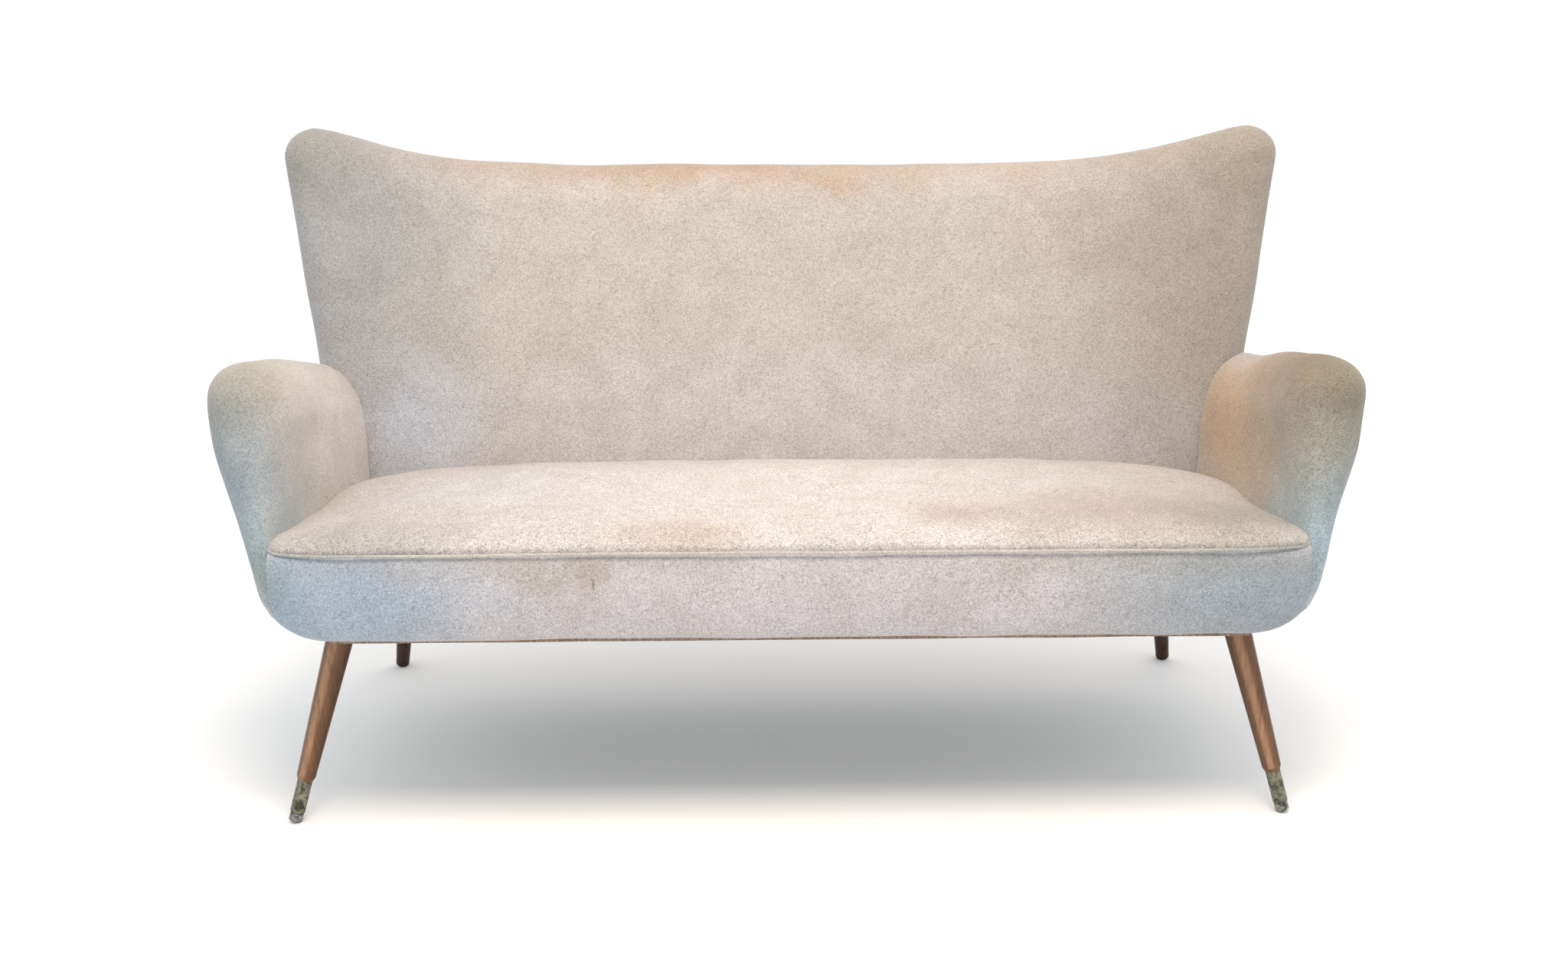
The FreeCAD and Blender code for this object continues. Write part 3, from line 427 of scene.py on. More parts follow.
def rounded(distance, radius):
    """Share of the full thickness at a distance in from a round edge."""
    inside = min(distance / radius, 1.0)
    return math.sqrt(max(0.0, 1 - (1 - inside) ** 2))


def steps_from_edge(length, radius, step, usual_length=None):
    """Distances in from a round edge, close together on the round and even after it.

    With a usual length, there are as many of them as that length would get."""
    steps = [radius * (1 - math.cos(math.radians(angle))) for angle in range(0, 90, 11)]
    count = max(1, round(((usual_length or length) - radius) / step))
    return steps + [mix(radius, length, index / count) for index in range(count + 1)]


def both_sides(right):
    """Places from the right edge to the middle, carried on to the left edge."""
    return right[:-1] + [0.0] + [-place for place in reversed(right[:-1])]


def sewn(name, rows, ring=False, laddered=False, capped=False):
    """A mesh through rows of points, whose ends may be closed by a ladder of strips or by one face."""
    count = len(rows[0])
    faces = []
    for first in range(len(rows) - 1):
        second = first + 1
        for index in range(count if ring else count - 1):
            following = (index + 1) % count
            faces.append((first * count + index, first * count + following,
                          second * count + following, second * count + index))
    if laddered:
        for start, turned in ((0, True), ((len(rows) - 1) * count, False)):
            for index in range(count // 2 - 1):
                rung = (start + index, start + index + 1,
                        start + count - 2 - index, start + count - 1 - index)
                faces.append(tuple(reversed(rung)) if turned else rung)
    mesh = bpy.data.meshes.new(name)
    mesh.from_pydata([tuple(point) for row in rows for point in row], [], faces)
    piece = bpy.data.objects.new(name, mesh)
    bpy.context.scene.collection.objects.link(piece)
    tidy = bmesh.new()
    tidy.from_mesh(mesh)
    bmesh.ops.remove_doubles(tidy, verts=tidy.verts, dist=weld_m)
    bmesh.ops.dissolve_degenerate(tidy, edges=tidy.edges, dist=weld_m)
    if capped:
        bmesh.ops.holes_fill(tidy, edges=[edge for edge in tidy.edges if edge.is_boundary])
    bmesh.ops.recalc_face_normals(tidy, faces=tidy.faces)
    tidy.to_mesh(mesh)
    tidy.free()
    mesh.shade_smooth()
    return piece


def relax(piece, depth_m, size_m, seed):
    """The slight unevenness of cloth over padding."""
    vertices = piece.data.vertices
    moves = []
    for vertex in vertices:
        place = vertex.co / size_m + Vector((seed, seed * 2, -seed))
        moves.append(vertex.normal * (noise.noise(place) * depth_m))
    for vertex, move in zip(vertices, moves):
        vertex.co += move


def smoothed(piece):
    modifier = piece.modifiers.new("smooth", "SUBSURF")
    modifier.levels = 1
    modifier.render_levels = 1


def back_rows(outline):
    """Columns of points over the back: up the rear, over the top edge and down the front."""
    rows = []
    across = steps_from_edge(back_half_high, edge_round, back_step)
    for share in both_sides([1 - distance / back_half_high for distance in across]):
        top = back_top_at(share)
        front, rear = [], []
        for drop in steps_from_edge(top - back_bottom_z, edge_round, back_step, back_top_z - back_bottom_z):
            z = top - drop
            x = share * back_half_at(z)
            middle = back_middle_at(share, z)
            full = rounded(distance_to(outline, x, z), edge_round)
            half_thick = back_thick_at(z) / 2 * full
            belly = back_fullness_at(z) * full
            front.append(Vector((x, middle - half_thick - back_belly * belly, z)))
            rear.append(Vector((x, middle + half_thick + back_rear_belly * belly, z)))
        rows.append(list(reversed(rear)) + front[1:])
    return rows


back_edge = back_outline()
inside_back = sewn("inside_back", back_rows(back_edge), ring=True)
relax(inside_back, depth_m=0.0035, size_m=0.13, seed=3.0)
smoothed(inside_back)


def within(nodes, links, place, middle, reach, strength):
    """One inside an ellipsoid, fading to nothing at its surface."""
    around = nodes.new("ShaderNodeMapping")
    around.vector_type = "TEXTURE"
    set_to(around, {"Location": middle, "Scale": reach})
    links.new(place, around.inputs["Vector"])
    length = worked(nodes, links, "LENGTH", around.outputs["Vector"], kind="Vector", result="Value")
    fade = nodes.new("ShaderNodeMapRange")
    fade.interpolation_type = "SMOOTHSTEP"
    set_to(fade, {"From Min": patch_fades_from, "From Max": 1.0, "To Min": strength, "To Max": 0.0})
    links.new(length, fade.inputs["Value"])
    return fade.outputs["Result"]


def drifted(nodes, links, place):
    """The place moved about by a soft noise, so that a patch on it gets a ragged edge."""
    drift = mottle(nodes, links, place, patch_drift_m, detail=4.0).node.outputs["Color"]
    moved = worked(nodes, links, "MULTIPLY_ADD", drift, (patch_drift_m,) * 3, place, kind="Vector")
    return worked(nodes, links, "SUBTRACT", moved, (patch_drift_m / 2,) * 3, kind="Vector")


def tinted(colour, tint):
    return tuple(channel * share for channel, share in zip(colour, tint))


def loop_pile_finish(name, patches, tint=(1.0, 1.0, 1.0), marks=(), folds=(), contrast=1.0):
    """Looped wool: two yarn shades in a curled nap, with soft patches of discolouration and of painted light
    and shade, small marks and folds.

    A patch or a mark is its middle, its reach in X, Y and Z, its colour to multiply by and its strength.
    A fold is the middle and the reach of a place where the cloth is creased level."""
    finish, nodes, links, shader, place = new_finish(name)
    middle_shade = tinted([mix(a, b, 0.5) for a, b in zip(cloth_dark, cloth_pale)], tint)
    dark = tuple(mix(m, d, contrast) for m, d in zip(middle_shade, tinted(cloth_dark, tint)))
    pale = tuple(mix(m, p, contrast) for m, p in zip(middle_shade, tinted(cloth_pale, tint)))
    loops = mottle(nodes, links, place, loop_m, detail=2.0, distortion=0.4)
    curls = mottle(nodes, links, place, curl_m, detail=2.0, distortion=2.0)
    clouds = mottle(nodes, links, place, cloud_m, detail=4.0, distortion=0.5)
    nap = summed(nodes, links, loops, curls, loop_share)
    between = tuple(mix(d, p, 0.55) for d, p in zip(dark, pale))
    wool = shaded(nodes, links, nap, [(0.34, dark), (0.50, between), (0.66, pale)])
    cloudy = shaded(nodes, links, clouds, [(0.34, cloud_dark), (0.66, cloud_pale)])
    wool = multiplied(nodes, links, 1.0, wool, cloudy)
    ragged = drifted(nodes, links, place)
    for spots, spot_place in ((patches, ragged), (marks, place)):
        for middle, reach, colour, strength in spots:
            inside = within(nodes, links, spot_place, middle, reach, strength)
            wool = multiplied(nodes, links, inside, wool, colour)
    links.new(wool, shader.inputs["Base Color"])
    set_to(shader, {"Roughness": wool_roughness, "Sheen Weight": sheen_weight,
                    "Sheen Roughness": sheen_roughness, "Sheen Tint": sheen_tint})
    raised(nodes, links, shader, nap, strength=0.7, depth_m=nap_depth_m)
    for middle, reach in folds:
        level = stretched(nodes, links, place, crease_along)
        creases = mottle(nodes, links, level, crease_m, detail=1.0, distortion=0.3)
        height = worked(nodes, links, "MULTIPLY", creases, within(nodes, links, place, middle, reach, 1.0))
        deep = nodes.new("ShaderNodeBump")
        set_to(deep, {"Distance": crease_depth_m, "Strength": 0.8})
        links.new(height, deep.inputs["Height"])
        links.new(shader.inputs["Normal"].links[0].from_socket, deep.inputs["Normal"])
        links.new(deep.outputs["Normal"], shader.inputs["Normal"])
    return finish


def finished(piece, finish):
    """Put on a piece's cloth or board and fix it to the sofa."""
    piece.data.materials.append(finish)
    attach(piece, "sofa")


# The back's patches are mostly painted light and shade, partly discolouration: a warm band along the top, a
# paler lower middle, darker sides and ears, and bluish light low at the sides
back_cloth = loop_pile_finish("back_cloth", [
    ((0.0, 0.30, 0.94), (0.85, 0.3, 0.10), (0.84, 0.60, 0.42), 0.9),
    ((0.0, 0.15, 0.44), (1.1, 0.4, 0.28), (1.10, 1.10, 1.16), 0.95),
    ((-0.30, 0.20, 0.87), (0.22, 0.3, 0.08), (1.08, 1.05, 1.02), 0.7),
    ((-0.78, 0.20, 0.80), (0.36, 0.5, 0.42), (0.68, 0.73, 0.81), 0.95),
    ((0.78, 0.20, 0.76), (0.40, 0.5, 0.46), (0.68, 0.64, 0.58), 0.95),
    ((-0.80, 0.10, 0.96), (0.20, 0.3, 0.16), (0.65, 0.66, 0.57), 0.9),
    ((0.79, 0.10, 0.95), (0.22, 0.3, 0.16), (0.78, 0.75, 0.63), 0.9),
    ((0.45, 0.20, 0.80), (0.16, 0.3, 0.14), (0.96, 0.94, 0.88), 0.8),
    ((-0.64, 0.20, 0.47), (0.22, 0.3, 0.20), (0.98, 1.08, 1.27), 0.9),
    ((0.60, 0.20, 0.47), (0.24, 0.3, 0.16), (0.97, 0.99, 1.05), 0.9),
])
finished(inside_back, back_cloth)
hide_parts("inside_back_cover", "back_padding")


# Outside back: a flat panel of the same cloth, turned in at its edges, slip-stitched to the back's cloth
# along the top and the sides and tacked under the rear rail.

panel_inset = 0.040
panel_top_inset = 0.048
panel_proud = 0.0035
panel_tuck = 0.006
panel_roll = 0.010
panel_foot = 0.001
panel_cloth_m = 0.0022


def rear_face_at(x, z):
    full = rounded(distance_to(back_edge, x, z), edge_round)
    middle = back_middle_at(x / back_half_at(z), z)
    return middle + back_thick_at(z) / 2 * full + back_rear_belly * (back_fullness_at(z) * full)


def panel_rows():
    """Columns of points down the panel, in shares of its half width and of its height."""
    rows = []
    for column in both_sides([1 - distance for distance in steps_from_edge(1.0, radius=0.02, step=0.02)]):
        top = back_top_at(column * (1 - panel_inset / back_half_high)) - panel_top_inset
        row = []
        for share_up in [1 - distance for distance in steps_from_edge(1.0, radius=0.03, step=0.028)]:
            z = mix(back_bottom_z + panel_foot, top, share_up)
            half = back_half_at(z) - panel_inset
            x = column * half
            edge = min((1 - abs(column)) * half, (1 - share_up) * (top - back_bottom_z))
            lift = mix(-panel_tuck, panel_proud, rounded(edge, panel_roll))
            row.append(Vector((x, rear_face_at(x, z) + lift, z)))
        rows.append(row)
    return rows


outside_back = sewn("outside_back", panel_rows())
relax(outside_back, depth_m=0.0016, size_m=0.17, seed=8.0)
backing = outside_back.modifiers.new("cloth_thickness", "SOLIDIFY")
backing.thickness = panel_cloth_m
backing.offset = -1.0 if outside_back.data.polygons[0].normal.y > 0 else 1.0
smoothed(outside_back)
# Painted light: warmer and paler at the top, darker and cooler towards the bottom
outside_cloth = loop_pile_finish("outside_back_cloth", [
    ((0.0, 0.36, 0.90), (1.1, 0.4, 0.22), (1.06, 1.00, 0.92), 0.7),
    ((0.0, 0.25, 0.34), (1.1, 0.4, 0.20), (0.90, 0.91, 0.94), 0.8),
])
finished(outside_back, outside_cloth)
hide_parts("outside_back_cover")


# Arms: flared padded wings with a broad soft front, wide at the top and narrow at the foot, each sewn from
# two pieces of cloth over a post and a rail; the rear end is drawn in against the back.

arm_front_y = -0.3238
arm_rear_y = 0.2100
arm_front_rake = 0.10
arm_rear_rake = back_slope
arm_front_round = 0.092
arm_foot_round = 0.020
arm_round_low_z = 0.37
arm_round_high_z = 0.58
arm_first_cap = 0.14
arm_step = 0.016
outline_steps = 5
# Outlines across the right arm, from the inner foot up over the top to the outer foot, as (x, z)
arm_front_outline = [
    (0.708, 0.352), (0.716, 0.388), (0.727, 0.432), (0.731, 0.495), (0.727, 0.560), (0.720, 0.616),
    (0.732, 0.666), (0.774, 0.691), (0.817, 0.686), (0.843, 0.655), (0.842, 0.600), (0.827, 0.535),
    (0.795, 0.465), (0.768, 0.408), (0.748, 0.365), (0.728, 0.342),
]
arm_rear_outline = [
    (0.686, 0.305), (0.690, 0.360), (0.692, 0.410), (0.694, 0.460), (0.700, 0.505), (0.711, 0.545),
    (0.732, 0.582), (0.763, 0.606), (0.785, 0.594), (0.797, 0.564), (0.797, 0.514), (0.790, 0.455),
    (0.780, 0.400), (0.773, 0.350), (0.768, 0.306), (0.738, 0.298),
]
# How far the top sags below a straight line, at shares of the arm's length
arm_top_sags = [(0.0, 0.0), (0.10, 0.0), (0.30, 0.003), (0.60, 0.016), (0.82, 0.022), (1.0, 0.008)]
arm_sag_shares = {"left": 1.0, "right": 0.7}
arm_sag_from_z = 0.47
arm_sag_over_z = 0.15
foot_settle_share = 0.155
foot_settle_z = 0.435
foot_settle_over_z = 0.05
foot_forward = 0.036
foot_forward_over = 0.16
foot_forward_low_z = 0.41
foot_forward_high_z = 0.53
seam_reach = 0.030
seam_pull = 0.014
arm_spine_low = (0.738, 0.372)
arm_spine_high = (0.776, 0.625)
arm_rear_spine_low = (0.735, 0.335)
arm_rear_spine_high = (0.758, 0.565)


def curve_through(points, steps):
    """A smooth closed curve through points, with as many steps in each stretch."""
    count = len(points)
    curve = []
    for index in range(count):
        a, b, c, d = (points[(index + k - 1) % count] for k in range(4))
        for step in range(steps):
            t = step / steps
            curve.append(tuple(
                0.5 * (2 * q + (r - p) * t + (2 * p - 5 * q + 4 * r - s) * t * t
                       + (3 * q - p - 3 * r + s) * t ** 3)
                for p, q, r, s in zip(a, b, c, d)))
    return curve


def back_front_at(x, z):
    """The back's front face at a place across it and a height, away from its edges."""
    middle = back_middle_at(x / back_half_at(z), z)
    return middle - back_thick_at(z) / 2 - back_belly * back_fullness_at(z)


def arm_rows(side):
    """Rings round the arm from its front to its rear; the front rings shrink to the arm's spine."""
    outward = -1 if side == "left" else 1
    front = curve_through(arm_front_outline, outline_steps)
    rear = curve_through(arm_rear_outline, outline_steps)
    length = arm_rear_y - arm_front_y
    rows = []
    for distance in steps_from_edge(length, arm_front_round, arm_step)[1:]:
        share = distance / length
        rake = mix(arm_front_rake, arm_rear_rake, share)
        low = [mix(a, b, share) for a, b in zip(arm_spine_low, arm_rear_spine_low)]
        high = [mix(a, b, share) for a, b in zip(arm_spine_high, arm_rear_spine_high)]
        row = []
        for (xf, zf), (xr, zr) in zip(front, rear):
            eased = share * share * (3 - 2 * share)
            settled = min(share / foot_settle_share, 1.0) * clamped((foot_settle_z - zf) / foot_settle_over_z)
            x, z = mix(xf, xr, max(eased, settled)), mix(zf, zr, max(share, settled))
            sag = smooth_through(arm_top_sags, share) * arm_sag_shares[side]
            z -= sag * clamped((z - arm_sag_from_z) / arm_sag_over_z)
            run_x, run_z = high[0] - low[0], high[1] - low[1]
            t = clamped(((x - low[0]) * run_x + (z - low[1]) * run_z) / (run_x ** 2 + run_z ** 2))
            spine_x, spine_z = low[0] + run_x * t, low[1] + run_z * t
            up = clamped((z - arm_round_low_z) / (arm_round_high_z - arm_round_low_z))
            cap = mix(arm_first_cap, 1.0, rounded(distance, mix(arm_foot_round, arm_front_round, up)))
            x, z = mix(spine_x, x, cap), mix(spine_z, z, cap)
            down = clamped((foot_forward_high_z - z) / (foot_forward_high_z - foot_forward_low_z))
            forward = foot_forward * down * down * (3 - 2 * down) * max(0.0, 1 - distance / foot_forward_over)
            y = arm_front_y + distance + rake * (z - seat_line_z) - forward
            to_back = max(0.0, back_front_at(min(x, back_half_at(z)), z) - y)
            seam = seam_pull * max(0.0, 1 - to_back / seam_reach) ** 2
            from_spine = Vector((x - spine_x, 0.0, z - spine_z))
            drawn = from_spine.normalized() * seam
            row.append(Vector((outward * (x - drawn.x), y, z - drawn.z)))
        rows.append(row)
    return rows


# Arm patches, mostly painted light and shade, partly discolouration: pale or warm painted light on the inner
# faces, bluish painted light on the fronts and feet, and darker tops and outer faces
arm_light_and_stain_patches = {
    "left": [
        ((-0.68, -0.02, 0.56), (0.13, 0.34, 0.22), (1.28, 1.30, 1.38), 0.95),
        ((-0.79, -0.30, 0.57), (0.12, 0.14, 0.15), (0.76, 0.82, 0.86), 0.9),
        ((-0.77, -0.34, 0.40), (0.10, 0.12, 0.12), (0.80, 0.88, 0.86), 0.9),
        ((-0.82, -0.30, 0.43), (0.18, 0.22, 0.27), (0.55, 0.77, 0.99), 0.95),
        ((-0.80, -0.28, 0.66), (0.13, 0.16, 0.08), (0.72, 0.73, 0.69), 0.9),
        ((-0.83, -0.26, 0.60), (0.06, 0.10, 0.10), (0.84, 0.86, 0.82), 0.8),
    ],
    "right": [
        ((0.69, 0.00, 0.53), (0.12, 0.36, 0.20), (0.99, 0.73, 0.50), 0.95),
        ((0.72, -0.14, 0.68), (0.14, 0.26, 0.12), (0.82, 0.66, 0.54), 0.95),
        ((0.79, -0.26, 0.59), (0.20, 0.30, 0.22), (0.64, 0.67, 0.64), 0.95),
        ((0.81, -0.24, 0.66), (0.15, 0.24, 0.13), (0.66, 0.61, 0.47), 0.95),
        ((0.79, -0.32, 0.41), (0.16, 0.22, 0.19), (0.68, 0.95, 1.18), 0.95),
    ],
}
# A pale rub and, below it, a dark scratch made of overlapping spots
arm_rub = ((0.833, -0.25, 0.612), (0.010, 0.06, 0.004), (1.5, 1.5, 1.45), 0.9)
arm_scratch = [((mix(0.826, 0.808, share), -0.25, mix(0.507, 0.451, share)), (0.0035, 0.06, 0.010),
                (0.45, 0.34, 0.25), 0.8) for share in (0.0, 0.2, 0.4, 0.6, 0.8, 1.0)]
arm_marks = {"left": [], "right": [arm_rub] + arm_scratch}
arm_folds = {
    "left": [((-0.835, -0.27, 0.57), (0.035, 0.08, 0.07)), ((-0.66, -0.05, 0.50), (0.06, 0.16, 0.05))],
    "right": [((0.835, -0.27, 0.57), (0.025, 0.08, 0.05))],
}
for side, seed, contrast in (("left", 5.0, 1.0), ("right", 11.0, 1.2)):
    arm = sewn("arm_" + side, arm_rows(side), ring=True, laddered=True)
    relax(arm, depth_m=0.0040, size_m=0.085, seed=seed)
    smoothed(arm)
    arm_cloth = loop_pile_finish("arm_cloth_" + side, arm_light_and_stain_patches[side], marks=arm_marks[side],
                                 folds=arm_folds[side], contrast=contrast)
    finished(arm, arm_cloth)
    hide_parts("arm_cover_" + side, "arm_padding_" + side)


# Seat: one sprung, fixed seat under a smooth cover, crowned in the middle, rolled over the front edge
# to the piping and drawn down between the arms and the back.

seat_front_y = -0.396
seat_half = 0.744
corner_across = 0.140
corner_deep = 0.070
corner_beyond = 0.028
tip_round = 0.020
corner_steps_reach = 0.090
seat_edge_z = 0.4435
seat_tuck = 0.004
seat_lip = 0.002
seat_nose_rise = 0.0165
seat_nose_depth = 0.075
seat_crown = 0.005
seat_rear_y = 0.215
seat_rear_drop = 0.045
seat_drop_from_y = -0.09
seat_drop_by_y = 0.16
seat_under_z = 0.395
seat_step = 0.016
# Places across the seat in shares of its half width, with how far its top lies below the middle's
side_drops = [(0.0, 0.0), (0.45, 0.001), (0.66, 0.005), (0.80, 0.013), (0.90, 0.023), (0.96, 0.035),
              (1.0, 0.052)]
side_drop_at_edge = 0.16
side_drop_full_from = 0.02
side_drop_full_over = 0.24
fill_frames = 20


def front_edge_at(x, front_y, half):
    """Where the front edge runs, seen from above: a long shallow curve, then a short round at each tip."""
    over = max(0.0, abs(x) - (half + corner_beyond - corner_across)) / corner_across
    tip = max(0.0, abs(x) - (half - tip_round))
    return (front_y + corner_deep * (1 - math.sqrt(1 - over ** 2))
            + tip_round - math.sqrt(max(0.0, tip_round ** 2 - tip ** 2)))


def across_steps(half, step):
    """Places across, closer together round the front corners."""
    corner = [half - corner_steps_reach * (1 - math.sin(math.radians(angle))) for angle in range(90, -1, -6)]
    flat = half - corner_steps_reach
    count = round(flat / step)
    return both_sides(corner + [flat * (count - index) / count for index in range(1, count + 1)])


def seat_rows():
    rows = []
    for x in across_steps(seat_half, seat_step):
        edge_y = front_edge_at(x, seat_front_y, seat_half)
        drop = smooth_through(side_drops, abs(x) / seat_half)
        depth = seat_rear_y - edge_y
        edge_low = seat_edge_z - drop * side_drop_at_edge
        row = [Vector((x, edge_y + seat_tuck, edge_low - seat_lip)), Vector((x, edge_y + seat_lip, edge_low))]
        for distance in steps_from_edge(depth, seat_nose_depth, seat_step)[1:]:
            back = max(0.0, (edge_y + distance - seat_drop_from_y) / (seat_drop_by_y - seat_drop_from_y))
            middle = 1 - (2 * min(1.0, (distance / depth)) - 1) ** 2
            z = (seat_edge_z + seat_nose_rise * rounded(distance, seat_nose_depth) + seat_crown * middle
                 - seat_rear_drop * back * back)
            full = clamped((distance - side_drop_full_from) / side_drop_full_over)
            row.append(Vector((x, edge_y + distance, z - drop * mix(side_drop_at_edge, 1.0, full))))
        for y in (seat_rear_y, mix(seat_rear_y, edge_y, 0.5), edge_y + seat_tuck):
            row.append(Vector((x, y, seat_under_z)))
        rows.append(row)
    return rows


def even_rows(rows):
    """The same number of points in every row, spread as along the first full row."""
    count = max(len(row) for row in rows)
    spread = []
    for row in rows:
        if len(row) == count:
            spread.append(row)
            continue
        even = []
        for index in range(count):
            where = index * (len(row) - 1) / (count - 1)
            start = min(int(where), len(row) - 2)
            even.append(row[start].lerp(row[start + 1], where - start))
        spread.append(even)
    return spread


def filled_out(piece, voxel_m, pressure, cap_m, start_in_m):
    """Swell a closed piece's cloth under pressure from a slightly smaller start, each point up to a cap.
"""
    for vertex, inward in [(vertex, vertex.normal.copy()) for vertex in piece.data.vertices]:
        vertex.co -= inward * start_in_m
    voxels = piece.modifiers.new("voxels", "REMESH")
    voxels.mode = "VOXEL"
    voxels.voxel_size = voxel_m
    piece.data = bpy.data.meshes.new_from_object(piece.evaluated_get(bpy.context.evaluated_depsgraph_get()))
    piece.modifiers.clear()
    start = [vertex.co.copy() for vertex in piece.data.vertices]
    cloth = piece.modifiers.new("cloth", "CLOTH")
    cloth.settings.quality = 4
    cloth.settings.use_pressure = True
    cloth.settings.uniform_pressure_force = pressure
    cloth.settings.effector_weights.gravity = 0.0
    for moment in range(1, fill_frames + 1):
        bpy.context.scene.frame_set(moment)
    swollen = bpy.data.meshes.new_from_object(piece.evaluated_get(bpy.context.evaluated_depsgraph_get()))
    piece.modifiers.clear()
    for vertex, origin, moved in zip(piece.data.vertices, start, swollen.vertices):
        shift = moved.co - origin
        vertex.co = origin + shift * min(1.0, cap_m / max(shift.length, 0.000001))
    bpy.data.meshes.remove(swollen)
    bpy.context.scene.frame_set(1)
    piece.data.shade_smooth()


seat = sewn("seat", even_rows(seat_rows()), ring=True, capped=True)
relax(seat, depth_m=0.0030, size_m=0.11, seed=21.0)
filled_out(seat, voxel_m=0.006, pressure=6.0, cap_m=0.005, start_in_m=0.001)
smoothed(seat)
# The bright middle and the pale bluish patch on the left are painted light, and the grey patches by the arms
# are painted shade; the brownish patches are discolouration
seat_cloth = loop_pile_finish("seat_cloth", [
    ((0.0, -0.16, 0.46), (0.60, 0.4, 0.2), (1.16, 1.17, 1.18), 0.95),
    ((-0.15, -0.36, 0.46), (0.13, 0.08, 0.1), (0.86, 0.79, 0.70), 0.85),
    ((-0.46, -0.14, 0.46), (0.28, 0.20, 0.1), (1.05, 1.09, 1.15), 0.9),
    ((-0.62, -0.37, 0.45), (0.22, 0.09, 0.1), (0.74, 0.75, 0.72), 0.9),
    ((-0.50, -0.24, 0.46), (0.10, 0.06, 0.1), (0.93, 0.90, 0.86), 0.7),
    ((0.24, -0.30, 0.46), (0.12, 0.07, 0.1), (0.86, 0.79, 0.71), 0.8),
    ((0.48, -0.28, 0.46), (0.30, 0.17, 0.1), (0.82, 0.76, 0.71), 0.9),
    ((0.66, -0.30, 0.45), (0.17, 0.18, 0.1), (0.70, 0.71, 0.65), 0.9),
], marks=[((0.068, -0.30, 0.46), (0.004, 0.003, 0.03), (0.35, 0.30, 0.28), 0.9)],
    tint=(1.10, 1.10, 1.15), contrast=1.5)
finished(seat, seat_cloth)
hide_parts("seat_cover", "seat_padding")


# Front border: a padded band under the piping, round both front corners to the arms; its lower corners
# are drawn up and under, and its lower edge is turned over the rail.

border_front_y = -0.3940
border_half = 0.734
border_top_z = 0.4385
border_bottom_z = 0.3095
border_belly = 0.007
border_edge_round = 0.016
border_corner_lift = 0.030
border_lift_from_x = 0.600
border_lift_over = 0.134
border_depth = 0.060
border_shelf = 0.010
border_seam_tuck = 0.003
border_seam_over = 0.008
border_seam_drop = 0.001
border_points = 14
border_step = 0.016
rail_gap = 0.0006
under_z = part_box("front_rail")[0][2] - rail_gap
return_slope = 0.35
return_flat = 0.022


def border_rows():
    rows = []
    for x in across_steps(border_half, border_step):
        edge_y = front_edge_at(x, border_front_y, border_half + tip_round)
        over = clamped((abs(x) - border_lift_from_x) / border_lift_over)
        bottom = border_bottom_z + border_corner_lift * over ** 4
        row = [Vector((x, edge_y + inward, border_top_z)) for inward in (border_depth, border_shelf)]
        for index in range(border_points + 1):
            share = index / border_points
            z = mix(border_top_z, bottom + border_edge_round, share)
            bulge = border_belly * (1 - (2 * share - 1) ** 2)
            tuck = border_seam_tuck * (1 - rounded(border_top_z - z, border_seam_over))
            row.append(Vector((x, edge_y - bulge + tuck, z - border_seam_drop)))
        for angle in (22.5, 45.0, 67.5, 90.0):
            turn = math.radians(angle)
            row.append(Vector((x, edge_y + border_edge_round * (1 - math.cos(turn)),
                               bottom + border_edge_round * (1 - math.sin(turn)))))
        flat_y = edge_y + border_edge_round + (bottom - under_z) / return_slope
        row += [Vector((x, flat_y, under_z)), Vector((x, flat_y + return_flat, under_z)),
                Vector((x, flat_y + return_flat, under_z + return_flat))]
        rows.append(row)
    return rows


border = sewn("front_border", border_rows(), ring=True, capped=True)
relax(border, depth_m=0.0024, size_m=0.09, seed=31.0)
smoothed(border)
# The bluish patches at the corners and the bluish tint are painted cool light; the small brown patch and the
# mark are a stain and a tear
border_cloth = loop_pile_finish("border_cloth", [
    ((-0.32, -0.39, 0.425), (0.40, 0.2, 0.035), (0.86, 0.84, 0.79), 0.8),
    ((0.50, -0.39, 0.425), (0.45, 0.2, 0.04), (0.86, 0.86, 0.80), 0.8),
    ((-0.66, -0.38, 0.36), (0.34, 0.2, 0.14), (0.62, 0.81, 0.96), 0.95),
    ((-0.73, -0.36, 0.40), (0.08, 0.1, 0.12), (0.80, 0.87, 0.85), 0.9),
    ((0.68, -0.37, 0.36), (0.36, 0.2, 0.15), (0.56, 0.70, 0.77), 0.95),
    ((-0.28, -0.39, 0.405), (0.030, 0.1, 0.030), (0.78, 0.70, 0.60), 0.6),
], marks=[((-0.277, -0.395, 0.399), (0.0022, 0.05, 0.012), (0.40, 0.32, 0.26), 0.9)],
    tint=(1.04, 1.05, 1.17), contrast=1.1)
finished(border, border_cloth)
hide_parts("front_border_cover", "front_border_padding")


# Piping: a cord in a strip of the paler cloth, sewn between the seat and the border along the front
# and round both corners, where its ends dive between the seat and the arms.

piping_radius = 0.0023
piping_z = 0.4410
piping_proud = 0.0004
piping_dip = 0.003
piping_half = 0.737
piping_end_share = 0.996
piping_end_y = -0.290
piping_step = 0.022
piping_waver = 0.0016
piping_sides = 10


def piping_path():
    """Points along the piping from the right arm to the left one, a little uneven."""
    front_y = seat_front_y - piping_proud
    path = []
    for x in across_steps(piping_half, piping_step):
        z = piping_z - piping_dip * (abs(x) / piping_half) ** 8
        path.append(Vector((x, front_edge_at(x, front_y, piping_half), z)))
    tucked_in = [Vector((end.x * piping_end_share, piping_end_y, end.z)) for end in (path[0], path[-1])]
    path = tucked_in[:1] + path + tucked_in[1:]
    for point in path:
        point.z += piping_waver * noise.noise(Vector((point.x * 6, 0.4, 7.0)))
    return path


